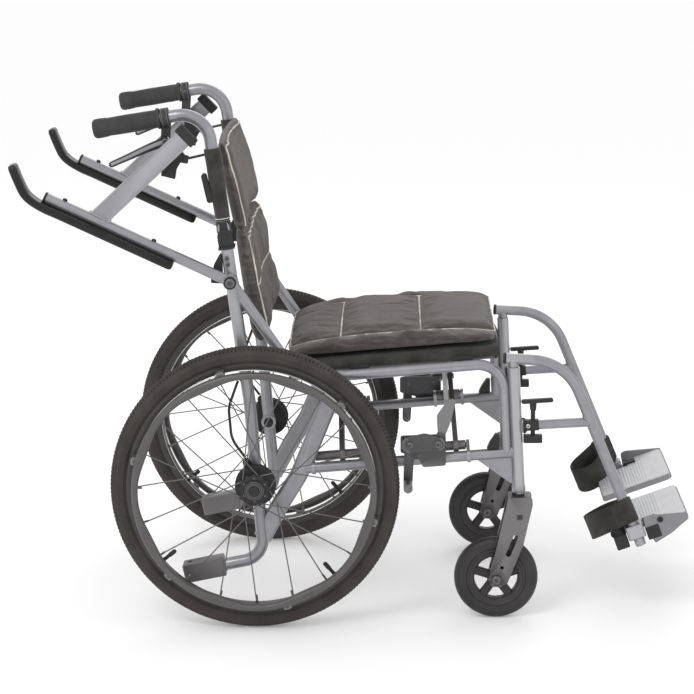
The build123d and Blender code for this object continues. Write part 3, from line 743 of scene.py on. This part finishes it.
def pillow(place, half_u, half_v, half_w, power=8.0, steps_u=40, steps_v=40):
    """Closed crowned form: place(u, v, w) sets a point from its plan place and height, all in mm."""
    def height(a, b):
        return half_w * (max(0, 1 - abs(a) ** power) * max(0, 1 - abs(b) ** power)) ** 0.42

    def grid(sign):
        rows = []
        for i in range(steps_u + 1):
            a = math.sin(math.pi / 2 * (2 * i / steps_u - 1))
            row = []
            for j in range(steps_v + 1):
                b = math.sin(math.pi / 2 * (2 * j / steps_v - 1))
                pull = 1 - 0.012 * (1 - a * a), 1 - 0.012 * (1 - b * b)
                row.append(place(a * half_u * pull[1], b * half_v * pull[0], sign * height(a, b)))
            rows.append(row)
        return skin(rows, closed_ring=False, caps=False)

    points, faces = merged([grid(1), grid(-1)])
    return points, faces


def weld(piece):
    work = bmesh.new()
    work.from_mesh(piece.data)
    bmesh.ops.remove_doubles(work, verts=work.verts, dist=0.00005)
    bmesh.ops.recalc_face_normals(work, faces=work.faces)
    work.to_mesh(piece.data)
    work.free()


def on_surface(piece, points, direction, lift=0.0):
    """The points dropped onto the piece along direction."""
    mesh = piece.data
    tree = BVHTree.FromPolygons([v.co for v in mesh.vertices], [p.vertices for p in mesh.polygons])
    direction = Vector(direction).normalized()
    made = []
    for p in points:
        hit = tree.ray_cast(p - direction * 0.1, direction)[0]
        if hit is not None:
            made.append(hit - direction * lift)
    return made


def laid(piece, lines, direction, lift, radius, up):
    """Thin tubes along the lines where they drop onto the piece."""
    paths = [eased(on_surface(piece, line, direction, lift * MM)) for line in lines]
    return [swept(path, lambda share: circle(radius * MM, 8), up=up) for path in paths]


def add_bolsters(piece, is_outer):
    """Bolster fabric on the faces whose centres is_outer picks."""
    piece.data.materials.append(MATERIALS["bolster"])
    outer = is_outer(np.array([p.center for p in piece.data.polygons]))
    piece.data.polygons.foreach_set("material_index", outer.astype(np.int32))


def eased(path, passes=3):
    """The same path with its small jogs averaged out."""
    for _ in range(passes):
        path = [path[0]] + [(a + b * 2 + c) / 4 for a, b, c in zip(path, path[1:], path[2:])] + [path[-1]]
    return path


SEAT_TUBE_V, SEAT_TUBE_W = 200.0, 178.6
SEAT_MID_U, SEAT_HALF_U, SEAT_HALF_V = -89.5, 190.5, 202.5
SEAT_W = 207.0                                  # middle of the cushion's thickness, above the rails
OVER_SEAT_W = 260.0                             # clear above the cushion
SEAT_PIPING_V = 160.0
SEAT_SEAMS_U = (-180.0, -37.0)
SEAT_PIPING_U = (-272.0, 94.0)


def seat():
    """One padded cushion over both seat halves: quilted top, side bolsters, piping along every seam."""
    def place(u, v, w):
        crown = 4.0 * (1 - (v / SEAT_HALF_V) ** 2) + 3.0 - 10.0 * abs(u / SEAT_HALF_U) ** 2.6
        return rail(v, SEAT_W + w + (crown if w > 0 else 0), SEAT_MID_U + u)

    cushion = add_mesh("seat_pad", *pillow(place, SEAT_HALF_U, SEAT_HALF_V, 12.0), "upholstery")
    weld(cushion)
    remesh(cushion, 0.006)
    points = coords(cushion)
    u, v, w = seat_plan(points)
    seam = (np.abs(np.abs(v) - SEAT_PIPING_V) < 4) & (w > SEAT_W)
    for seam_u in SEAT_SEAMS_U:
        seam |= (np.abs(u - seam_u) < 4) & (np.abs(v) < SEAT_PIPING_V) & (w > SEAT_W)
    inflate(cushion, np.nonzero(seam | (w < SEAT_W - 8))[0], 4.0, 9 * MM)
    subdivide(cushion)
    points = coords(cushion)
    u, v, w = seat_plan(points)
    top = w > SEAT_W + 2
    sink = -3.0 * MM
    dent = np.exp(-((np.abs(v) - SEAT_PIPING_V) / 5.0) ** 2)
    for seam_u in SEAT_SEAMS_U:
        dent = np.maximum(dent, np.exp(-((u - seam_u) / 4.0) ** 2) * (np.abs(v) < SEAT_PIPING_V))
    points += np.outer(dent * top * sink, np.array(ABOVE))
    set_coords(cushion, points)
    smooth_all(cushion)

    def is_outer(centres):
        _, face_v, face_w = seat_plan(centres)
        return (np.abs(face_v) > SEAT_PIPING_V + 1) | (face_w < SEAT_W - 2)

    add_bolsters(cushion, is_outer)
    lines = []
    for v_line in (-SEAT_PIPING_V, SEAT_PIPING_V):
        lines.append([rail(v_line, OVER_SEAT_W, u_line) for u_line in np.linspace(*SEAT_PIPING_U, 60)])
    for u_line in SEAT_SEAMS_U + SEAT_PIPING_U:
        lines.append([rail(v_line, OVER_SEAT_W, u_line)
                      for v_line in np.linspace(-SEAT_PIPING_V, SEAT_PIPING_V, 50)])
    tubes = laid(cushion, lines, -ABOVE, 1.0, 1.5, ABOVE)
    piping = add_mesh("seat_piping", *merged(tubes), "piping")
    for piece in (cushion, piping):
        rail(60, SEAT_W, SEAT_MID_U)
        rail(-60, SEAT_W, SEAT_MID_U)
        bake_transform(piece)
    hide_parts("seat_cushion_left", "seat_cushion_right")


def seat_plan(points):
    """(u, v, w) of points, in mm, in the rails' own axes."""
    away = (points - np.array(RAILS)) / MM
    return away @ np.array(ALONG), away[:, 1], away @ np.array(ABOVE)


BACK_HINGE = at(-48.5, 0, 694)
BACK_DIR = Vector((-0.132, 0, 0.991)).normalized()
PAD_HALF = 195.0
PAD_PIPING_V = PAD_HALF - 12
# (z, x) of the back upholstery's front and rear faces
PAD_FRONT = [(500, 31), (530, 33), (692, 0), (700, -3), (775, -19), (850, -42)]
PAD_REAR = [(500, -10), (600, -26), (692, -37), (700, -38), (780, -53), (852, -62)]


def back_pad(name, low, high, body, node_name, seams):
    """One length of the back upholstery, hollowed towards its middle, with piping at its seams."""
    half_u = (high - low) / 2
    heights, fronts = zip(*PAD_FRONT)
    rear_heights, rears = zip(*PAD_REAR)

    def depth_at(z):
        return np.interp(z, heights, fronts), np.interp(z, rear_heights, rears)

    def place(u, v, w):
        z = (low + high) / 2 + u
        front, rear = depth_at(z)
        sag = 9.0 * (1 - (v / PAD_HALF) ** 2)
        return at((front + rear) / 2 + w * (front - rear) / 36 - sag, v, z)

    pad = add_mesh(name, *pillow(place, half_u, PAD_HALF - 2.5, 13.5, 12.0, 24, 44), "back_fabric")
    weld(pad)
    remesh(pad, 0.0055)
    points = coords(pad)
    z = points[:, 2] / MM
    x = (points[:, 0] - AXLE.x) / MM
    front, rear = depth_at(z)
    is_front = x > (front + rear) / 2
    v = points[:, 1] / MM
    seam = is_front & (np.abs(np.abs(v) - PAD_PIPING_V) < 4)
    for z_seam in seams:
        seam |= is_front & (np.abs(z - z_seam) < 4)
    inflate(pad, np.nonzero(seam | (x < rear + 9))[0], 3.0, 6 * MM)
    subdivide(pad)
    points = coords(pad)
    z, v = points[:, 2] / MM, points[:, 1] / MM
    front, rear = depth_at(z)
    is_front = (points[:, 0] - AXLE.x) / MM > (front + rear) / 2 - 6
    dent = 0.25 * np.exp(-((np.abs(v) - PAD_PIPING_V) / 4.5) ** 2)
    for z_seam in seams:
        dent = np.maximum(dent, np.exp(-((z - z_seam) / 4.0) ** 2))
    points[:, 0] -= 2.6 * MM * dent * is_front
    set_coords(pad, points)
    smooth_all(pad)
    add_bolsters(pad, lambda centres: np.abs(centres[:, 1]) > (PAD_PIPING_V + 0.5) * MM)
    paths = [[at(200, v_line, z_line) for z_line in np.linspace(low + 9, high - 9, 40)]
             for v_line in (PAD_PIPING_V, -PAD_PIPING_V)]
    paths += [[at(200, v_line, z_line) for v_line in np.linspace(-PAD_PIPING_V, PAD_PIPING_V, 60)]
              for z_line in list(seams) + [high - 9]]
    tubes = laid(pad, paths, (-1, 0, 0), 1.0, 1.6, (1, 0, 0))
    piping = add_mesh(f"{name}_piping", *merged(tubes), "piping")
    tucks = []
    for share, hand in ((0.35, -1), (0.68, -1), (0.35, 1), (0.68, 1)):
        path = []
        for z_line in np.linspace(low + 9, high - 9, 40):
            front, rear = depth_at(z_line)
            path.append(at(rear + (front - rear) * share, hand * 300, z_line))
        tucks += laid(pad, [path], (0, -hand, 0), 0.2, 1.3, (0, 1, 0))
    tucks = add_mesh(f"{name}_tucks", *merged(tucks), "bolster")
    for piece in (pad, piping, tucks):
        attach(piece, body)
        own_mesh(piece)
    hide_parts(node_name)


def back_sleeve(side, sign):
    """Dark fabric sleeve that holds the back upholstery to the post, with its strap behind."""
    start = BACK_HINGE + sideways(sign * BACK_Y)
    rings = []
    for i in range(31):
        share = i / 30
        here = start + BACK_DIR * ((27 + 127 * share) * MM)
        forward = Vector((BACK_DIR.z, 0, -BACK_DIR.x))
        hem = 0.9 if share in (0, 1) else 0
        ring = []
        for k in range(28):
            angle = TAU * k / 28
            wrinkle = 0.3 * math.sin(3 * angle + 9 * share)
            radius = (12.9 + 2.2 * share + wrinkle - hem) * MM
            ring.append(here + forward * (radius * math.cos(angle)) + sideways(radius * math.sin(angle)))
        rings.append(ring)
    side_mesh("post_sleeve", side, [skin(rings)], "sleeve_fabric", "back_upper", "webbing", sharp=50)
    outline = [(a * MM, (13.2 + b) * MM) for a, b in circle(0.7, 6)]
    hem_ring = turned(outline, start + BACK_DIR * (31 * MM), BACK_DIR, 40)
    side_mesh("sleeve_hems", side, [hem_ring], "piping", "back_upper", "upholstery")
    collar = turned(mm([(6, 11.1), (6, 13.6), (24, 13), (26, 12), (26, 11.1)]),
                    start, BACK_DIR, 40)
    side_mesh("hinge_collar", side, [collar], "black_plastic", "back_upper")


def sling(side, sign):
    """Half of the seat's carrying fabric, wrapped round its seat tube."""
    radius, thick = 11.3, 1.5
    arc = [(SEAT_TUBE_V + radius * math.cos(a), SEAT_TUBE_W + radius * math.sin(a))
           for a in np.radians(np.linspace(86, -16, 12))]
    middle_line = [(1.0, 190.3), (60, 190.2), (120, 190.0), (170, 190.0), (192, 189.9)] + arc
    rings = []
    steps = 24
    low_u, high_u = -86 - 183.0, -86 + 183.0
    for i in range(steps + 1):
        u = low_u + (high_u - low_u) * i / steps
        top, under = [], []
        for k, (v, w) in enumerate(middle_line):
            before, after = middle_line[max(0, k - 1)], middle_line[min(len(middle_line) - 1, k + 1)]
            run = Vector((after[0] - before[0], after[1] - before[1])).normalized()
            out = Vector((-run.y, run.x)) * (thick / 2)
            ripple = 0.3 * math.sin(u * 0.11 + k)
            top.append(rail(sign * (v + out.x), w + out.y + ripple, u))
            under.append(rail(sign * (v - out.x), w - out.y + ripple, u))
        rings.append(top + under[::-1])
    cloth = side_mesh("sling", side, [skin(rings)], "webbing", "seat", sharp=60)
    length = sum((Vector(b) - Vector(a)).length for a, b in zip(middle_line, middle_line[1:]))
    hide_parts(f"seat_sling_{side}")


def seat_tube_caps(side, sign):
    body = "brace_a" if sign > 0 else "brace_b"
    ends = []
    for u, direction in ((90, 1), (-255, -1)):
        profile = [(-1, 0), (-1, 10.4), (2.2, 10.6), (4.6, 8.6), (5.2, 0)]
        ends.append(turned(mm(profile), rail(sign * SEAT_TUBE_V, SEAT_TUBE_W, u),
                           ALONG * direction, 28, closed=False))
    add_mesh(f"seat_tube_caps_{side}", *merged(ends), "black_plastic", body, "black_plastic")


# ------------------------------------------------------------------ armrests and handles
ARM_PIVOT = at(-38.5, 0, 617.8)
ARM_DIR = Vector((-0.905, 0, 0.4255)).normalized()
ARM_UNDER = Vector((-0.4255, 0, -0.905)).normalized()


def arm_pad(side, sign):
    """Skinned foam pad with a curled tip, screwed to the armrest tube."""
    base = ARM_PIVOT + sideways(sign * PAD_Y)
    anchors = [base + ARM_DIR * (d * MM) + ARM_UNDER * (15.5 * MM) for d in (107, 150, 230, 310, 350)]
    anchors += [at(x, 0, z) + sideways(sign * PAD_Y) for x, z in ((-387.5, 772), (-401, 799), (-409.5, 822))]
    path = smooth_path(anchors, 8)
    lead = [path[0] - ARM_DIR * (4.5 * MM), path[0] - ARM_DIR * (3.2 * MM)]
    tail_dir = (path[-1] - path[-2]).normalized()
    tail = [path[-1] + tail_dir * (3.2 * MM), path[-1] + tail_dir * (4.5 * MM)]
    path = lead + path + tail
    count = len(path)

    def section(share):
        i = round(share * (count - 1))
        end = min(i, count - 1 - i)
        size = (0.42, 0.8, 0.95, 1.0)[min(end, 3)]
        return [(a * MM * size, b * MM * size) for a, b in oval(7.9, 19.2, 3.4, 36)]
    pad = side_mesh("arm_cushion", side, [swept(path, section)], "arm_pad_foam", "arm")
    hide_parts(f"arm_pad_{side}")
    screws = []
    for distance in (150, 240, 318):
        spot = ARM_PIVOT + sideways(sign * ARM_Y) + ARM_DIR * (distance * MM) - ARM_UNDER * (9 * MM)
        screws.append(bolt_head(spot, -ARM_UNDER, 4.4 * MM, 4 * MM))
    side_mesh("arm_screws", side, screws, "black_plastic", "arm")
    plug = turned(mm([(-1, 0), (-1, 9.9), (2, 9.9), (3.6, 8), (4, 0)]),
                  ARM_PIVOT + sideways(sign * ARM_Y) + ARM_DIR * (350 * MM), ARM_DIR, 28, closed=False)
    side_mesh("arm_tube_plug", side, [plug], "black_plastic", "arm")


STRUT = [(-278, 741), (-247, 725), (-100.65, 861), (-121.55, 883.4)]      # (x, z) of the flat strut's corners


def strut_trim(side, sign):
    """Rolled edges down both sides of the armrest strut and the weld at its foot."""
    shapes = []
    for hand in (-1, 1):
        y = sideways(sign * ARM_Y + hand * 4.6 * MM)
        corners = [at(x, 0, z) + y for x, z in STRUT]
        across = (corners[1] - corners[0]).normalized() * (1.8 * MM)
        for foot_corner, top, inset in ((corners[0], corners[3], across), (corners[1], corners[2], -across)):
            path = [foot_corner + inset + (top - foot_corner) * share for share in (0, 0.25, 0.5, 0.75, 0.93)]
            shapes.append(swept(path, lambda share: circle(1.9 * MM, 10)))
        run = corners[1] - corners[0] + across * 3.2
        bead = [corners[0] - across * 1.6 + run * (k / 16) for k in range(17)]
        shapes.append(swept(bead, lambda share: circle((2.6 + 0.3 * math.sin(90 * share)) * MM, 10)))
    side_mesh("strut_edges", side, shapes, "frame_paint", "arm")


def tip_cover(side, sign):
    """Grey sleeve over the end of the rear tipping tube, with its fixing screw."""
    right = Vector((0.9806, 0, 0.196))
    up = Vector((-0.196, 0, 0.9806))
    middle_point = at(-95, 0, 90.6) + sideways(sign * FRAME_Y)
    outline = mm(rounded([(-37.5, -17), (37.5, -17), (37.5, 17), (-37.5, 17)], 3.5, 4))
    cover = plate(outline, middle_point, right, up, 34.8 * MM, 2.4 * MM)
    screw = bolt_head(middle_point - right * (24 * MM) + up * (16.6 * MM), up, 3.6 * MM, 2 * MM)
    side_mesh("tip_cover", side, [cover], "handrim_grey", "frame", "black_plastic")
    side_mesh("tip_screw", side, [screw], "black_plastic", "frame")


GRIP_END = at(-272, 0, 881)
GRIP_DIR = Vector((-194, 0, -31)).normalized()


def push_grip(side, sign):
    """Ribbed rubber grip with a flange in front and a rounded end."""
    start = GRIP_END + sideways(sign * BACK_Y) - GRIP_DIR * (115 * MM)
    profile = [(-1, 11.6), (-1, 17.4), (0, 18.2), (3.5, 18.2), (4.5, 17.2), (5.5, 15.7)]
    for i in range(60):
        along = 6 + 82 * i / 59
        rib = 0.55 * (1 if math.sin(TAU * along / 4.1) > -0.2 else 0)
        profile.append((along, 15.2 + rib + 0.6 * math.sin(math.pi * along / 95)))
    profile += [(89, 15.3), (92, 16.4), (104, 17.1), (111, 16.9), (115, 15.2), (117, 11.5), (117.8, 0)]
    grip = turned(mm(profile), start, GRIP_DIR, 48, closed=False)
    side_mesh("grip_sleeve", side, [grip], "grip_rubber", "back_upper", sharp=30)
    place = GRIP_END + sideways(sign * BACK_Y) - GRIP_DIR * (125 * MM)
    bands = []
    for along in (-4.5, 4.5):
        outline = [((along + a) * MM, (16.6 + b) * MM) for a, b in circle(0.9, 8)]
        bands.append(turned(outline, place, GRIP_DIR, 48))
    bands.append(bolt_head(place + sideways(-sign * 16.4 * MM), (0, -sign, 0), 3.2 * MM, 2.4 * MM))
    side_mesh("clamp_bands", side, bands, "lock_grey", "back_upper")


BRAKE_PIVOT = at(-149, 0, 861)


def brake_lever(side, sign):
    """Pressed silver blade along the attendant's brake lever, and its pivot bolt."""
    y = sign * (BACK_Y + 9 * MM)
    points = [(-141, 862), (-160, 857), (-184, 847.5), (-213, 834), (-243, 821)]
    path = smooth_path([at(x, 0, z) + sideways(y) for x, z in points], 8)

    def section(share):
        return mm(oval(7.6 - 2.8 * share, 4.4, 2.4, 20))
    side_mesh("brake_blade", side, [swept(path, section)], "frame_paint", "brake_lever")
    bolt = bolt_head(BRAKE_PIVOT + sideways(y + sign * 4 * MM), (0, sign, 0), 5 * MM, 3 * MM)
    side_mesh("brake_bolt", side, [bolt], "lock_grey", "brake_lever", "black_plastic")


# ------------------------------------------------------------------ footrests
HANGER_TOP = at(600, 0, 342)
HANGER_DIR = Vector((0.377, 0, -0.926)).normalized()
FOOT = at(674, 0, 159)
FOOT_PITCH = math.radians(20)
FOOT_ALONG = Vector((math.cos(FOOT_PITCH), 0, math.sin(FOOT_PITCH)))
FOOT_UP = Vector((-math.sin(FOOT_PITCH), 0, math.cos(FOOT_PITCH)))
FOOT_PIN_Y = 196.0


def foot(s, y, n):
    """A point in a footplate's own axes: s forward along it, n above its middle plane."""
    return FOOT + FOOT_ALONG * (s * MM) + sideways(y * MM) + FOOT_UP * (n * MM)


def footplate(side, sign):
    """Tray in a darker grey that is painted shade, under a pale top skin that is the same plastic lit from
    above; ribbed under the heel and smooth under the toes.
    """
    def layer(outline, low, high, bevel):
        middle_s = sum(p[0] for p in outline) / len(outline)
        middle_y = sum(p[1] for p in outline) / len(outline)
        rings = []
        for n, inset in ((low, bevel), (low + bevel, 0), (high - bevel, 0), (high, bevel)):
            rings.append([foot(s - math.copysign(min(inset, abs(s - middle_s)), s - middle_s),
                               sign * (y - math.copysign(min(inset, abs(y - middle_y)), y - middle_y)), n)
                          for s, y in outline])
        return skin(rings)

    tray = rounded([(-39, 38.5), (92, 38.5), (98, 46), (98, 218), (92, 228), (23, 228), (23, 184), (-18, 184),
                    (-18, 195), (-39, 195)], 5, 5)
    tray_shapes = [layer(tray, -7.5, 2.2, 1.6)]
    skirt = rounded([(18, 3), (21, 20), (30, 22), (97, 4), (97, -7), (60, -23), (27, -31)], 2.5, 4)
    side_plate = []
    for y in (224.2, 225.2, 227.6, 228.6):
        inset = 1 if y in (224.2, 228.6) else 0
        side_plate.append([foot(s - math.copysign(inset, s - 60), sign * y, n - math.copysign(inset, n + 12))
                           for s, n in skirt])
    tray_shapes.append(skin(side_plate))
    # The tray's darker grey is painted shade: the footplate plastic darkened on its sides and underside.
    made = side_mesh("footplate_tray", side, tray_shapes, "skirt_grey", "footplate", "footplate_plastic")
    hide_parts(f"footplate_{side}")

    # The pale top skin is the same plastic as the tray, painted as lit from above.
    skin_outline = rounded([(-37, 41), (91, 41), (95, 47), (95, 216), (90, 224), (26, 224), (26, 181),
                            (-37, 181)], 5, 5)
    shapes = [layer(skin_outline, 1.6, 4.6, 0.8)]
    for i in range(16):
        s = -31 + 5.6 * i
        rows = []
        for y in np.linspace(47, 176, 14):
            end = 0.35 if y in (47, 176) else 1
            rows.append([foot(s + a, sign * y, 4.4 + b * end) for a, b in
                         ((-1.7, 0), (-1.3, 0.9), (-0.5, 1.3), (0.5, 1.3), (1.3, 0.9), (1.7, 0))])
        shapes.append(skin(rows))
    side_mesh("footplate_top", side, shapes, "footplate_plastic", "footplate")

    hinges = []
    for low, high in ((-41, -17.5), (17.5, 43)):
        outline = rounded([(-9.5, -22), (34, -22), (34, 2), (20, 6), (-9.5, 9.5)], 2.5, 4)
        rows = []
        for s, size in ((low, 0.93), (low + 1.5, 1), (high - 1.5, 1), (high, 0.93)):
            rows.append([foot(s, sign * (FOOT_PIN_Y + a * size), b * size) for a, b in outline])
        hinges.append(skin(rows))
    side_mesh("footplate_hinges", side, hinges, "black_plastic", "footplate")
    bolts = [bolt_head(foot(48, sign * 228.4, 8), (0, sign, 0), 5.5 * MM, 3 * MM),
             bolt_head(foot(51, sign * FOOT_PIN_Y, 0), FOOT_ALONG, 5 * MM, 3 * MM),
             bolt_head(foot(-41, sign * FOOT_PIN_Y, 0), -FOOT_ALONG, 5 * MM, 3 * MM)]
    side_mesh("footplate_bolts", side, bolts, "black_plastic", "footplate")


def hull_of_two(first, first_r, second, second_r, steps=22):
    """Outline round two circles, anticlockwise."""
    first, second = Vector(first), Vector(second)
    run = second - first
    heading = math.atan2(run.y, run.x)
    open_angle = math.acos((first_r - second_r) / run.length)
    made = []
    for k in range(steps + 1):
        angle = heading + open_angle + (TAU - 2 * open_angle) * k / steps
        made.append(first + Vector((math.cos(angle), math.sin(angle))) * first_r)
    for k in range(steps + 1):
        angle = heading - open_angle + 2 * open_angle * k / steps
        made.append(second + Vector((math.cos(angle), math.sin(angle))) * second_r)
    return made


def resampled(points, count):
    """Points evenly spaced round a closed line."""
    loop = np.array([tuple(p) for p in points] + [tuple(points[0])])
    lengths = np.concatenate([[0], np.cumsum(np.linalg.norm(np.diff(loop, axis=0), axis=1))])
    spots = np.linspace(0, lengths[-1], count, endpoint=False)
    return np.stack([np.interp(spots, lengths, loop[:, k]) for k in range(loop.shape[1])], axis=1)


def heel_loop(side, sign):
    """Woven strap round the footrest tube and out behind the heel, with its fastening tab."""
    start = HANGER_TOP + HANGER_DIR * (134 * MM) + sideways(sign * FRAME_Y)
    across = Vector((-HANGER_DIR.z, 0, HANGER_DIR.x))
    inboard = sideways(-sign)

    def band(outline, low, high, thick):
        rings = []
        outline = resampled(outline, 96)
        for i, (a, b) in enumerate(outline):
            before, after = outline[i - 1], outline[(i + 1) % len(outline)]
            run = Vector((after[0] - before[0], after[1] - before[1])).normalized()
            out = Vector((run.y, -run.x)) * (thick / 2)
            far = max(0.0, min(1.0, -a / 90))
            ring = []
            for along, face, edge in ((low, 1, 0.6), (low + 1, 1, 1), (high - 1, 1, 1), (high, 1, 0.6),
                                      (high, -1, 0.6), (high - 1, -1, 1), (low + 1, -1, 1), (low, -1, 0.6)):
                spot = Vector((a, b)) + out * face * edge
                drop = along + 0.2 * spot.y + 10 * far
                ring.append(start + across * (spot.x * MM) + inboard * (spot.y * MM)
                            + HANGER_DIR * (drop * MM))
            rings.append(ring)
        return skin(rings, closed_path=True)

    loop = hull_of_two((0, 0), 11.6, (-48, 50), 29.5)
    tab = hull_of_two((0, 0), 12.4, (-14, 0), 12.2)
    strap = side_mesh("heel_strap", side, [band(loop, 0, 46, 2.2)], "webbing", "footrest")
    cuff = side_mesh("heel_strap_cuff", side, [band(tab, 2, 44, 1.6)], "webbing", "footrest")
    stitches = [band(loop, along, along + 2.4, 3.0) for along in (2.6, 41)]
    edges = side_mesh("heel_strap_edges", side, stitches, "webbing", "footrest")
    for piece in (strap, cuff, edges):
        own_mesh(piece)
    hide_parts(f"heel_loop_{side}")


def hanger_trim(side, sign):
    """Black clamp where the footrest grips the post, tube plug and latch screw."""
    y = sideways(sign * FRAME_Y)
    plug_dir = Vector((-107.5, 0, 6.5)).normalized()
    plug = turned(mm([(-2, 0), (-2, 9.9), (1.2, 10.2), (3, 9), (3.4, 0)]),
                  at(440, 0, 474.5) + y, plug_dir, 32, closed=False)
    post = at(455, 0, 458.6) + y
    up = (at(455, 0, 458.6) - at(466, 0, 230)).normalized()
    side_axis = Vector((up.z, 0, -up.x))
    rings = []
    for k in range(25):
        angle = math.radians(-92 + 133 * k / 24)
        out = side_axis * math.cos(angle) + sideways(math.sin(angle) * sign)
        outline = rounded([(16.2, -11.5), (19.0, -11.5), (19.0, 11.5), (16.2, 11.5)], 1.2, 3)
        rings.append([post - up * (107 * MM) + out * (r * MM) + up * (h * MM) for r, h in outline])
    block = swept([at(472, 0, 353) + y, at(480, 0, 353.4) + y, at(500, 0, 354.6) + y],
                  lambda share: mm(oval(9.6, 10.4, 4, 24)))
    side_mesh("hanger_clamp", side, [plug, skin(rings), block], "black_plastic", "footrest")
    screw = bolt_head(at(481, 0, 353.6) + sideways(sign * (FRAME_Y + 9.2 * MM)), (0, sign, 0), 4 * MM, 2 * MM)
    side_mesh("hanger_screw", side, [screw], "bare_steel", "footrest", "black_plastic")


# ------------------------------------------------------------------ frame details
def weld_bead(foot_point, direction, radius, through, post_dir, post_radius, steps=56):
    """Rippled weld where a tube meets a post: foot_point and through lie on the two axes."""
    direction, post_dir = direction.normalized(), post_dir.normalized()
    side = direction.orthogonal().normalized()
    other = direction.cross(side)
    path = []
    for k in range(steps):
        angle = TAU * k / steps
        start = foot_point + (side * math.cos(angle) + other * math.sin(angle)) * (radius * MM)
        away = start - through
        away -= post_dir * away.dot(post_dir)
        run = direction - post_dir * direction.dot(post_dir)
        a, b, c = run.dot(run), 2 * away.dot(run), away.dot(away) - (post_radius * MM) ** 2
        root = max(0, b * b - 4 * a * c)
        path.append(start + direction * ((-b + math.sqrt(root)) / (2 * a)))
    middle_point = sum(path, Vector()) / steps
    rings = []
    for i, here in enumerate(path):
        forward = (path[(i + 1) % steps] - path[i - 1]).normalized()
        out = (here - middle_point).normalized()
        up = out.cross(forward)
        thick = (1.75 + 0.3 * math.cos(TAU * i * 14 / steps)) * MM
        rings.append([here + out * (a * thick) + up * (b * thick) for a, b in circle(1, 8)])
    return skin(rings, closed_path=True)


def frame_welds(side, sign):
    y = sideways(sign * FRAME_Y)
    post_foot, post_top = at(466, 0, 230) + y, at(455, 0, 458.6) + y
    post = post_top - post_foot
    low_rail = at(347, 0, 295.5) + y
    beads = [weld_bead(low_rail, -ALONG, 9.5, post_foot, post, 11)]
    back_top = at(-10, 0, 395) + y
    upper_back = at(-45.5, 0, 671) + y
    strut_top, strut_foot = at(-36, 0, 608) + y, at(73, 0, 445) + y
    beads.append(weld_bead(strut_top, strut_foot - strut_top, 9.5, back_top, upper_back - back_top, 11))
    side_mesh("frame_welds", side, beads, "frame_paint", "frame")
    hanger = [weld_bead(at(540, 0, 359) + y, Vector((-118, 0, -6)), 8.5, HANGER_TOP + y, HANGER_DIR, 9.5)]
    side_mesh("hanger_welds", side, hanger, "frame_paint", "footrest")


def lock_trim(side, sign):
    """Bolts of the wheel lock, its rail bracket, and the brake plate's screws."""
    bolts = []
    for x, z in ((272, 325), (322, 327)):
        bolts.append(bolt_head(at(x, 0, z) + sideways(sign * 251.2 * MM), (0, sign, 0), 5.2 * MM, 2.6 * MM))
    for x, z in ((-43.4, 646), (-44.7, 656.5)):
        bolts.append(bolt_head(at(x, 0, z) + sideways(sign * 232.4 * MM), (0, sign, 0), 4.4 * MM, 2.4 * MM))
    bolts.append(bolt_head(at(-38.5, 0, 617.8) + sideways(sign * 260.6 * MM), (0, sign, 0), 8 * MM, 3 * MM))
    side_mesh("frame_bolts", side, bolts, "lock_grey", "frame", "black_plastic")


# ------------------------------------------------------------------ run
set_camera()
set_stage()
paint_cad_nodes()
SIDE_PIECES = (tyre, wheel_rim, hand_rim, hub_trim, castor_wheel, castor_trim, back_sleeve, sling,
               seat_tube_caps, arm_pad, push_grip, brake_lever, footplate, heel_loop, hanger_trim,
               frame_welds, lock_trim, strut_trim, tip_cover)
for side_name, side_sign in SIDES:
    for build in SIDE_PIECES:
        build(side_name, side_sign)
seat()
back_pad("back_cushion_lower", 500, 695, "frame_right", "back_pad_lower", (600,))
back_pad("back_cushion_upper", 697, 855, "back_upper_right", "back_pad_upper", ())
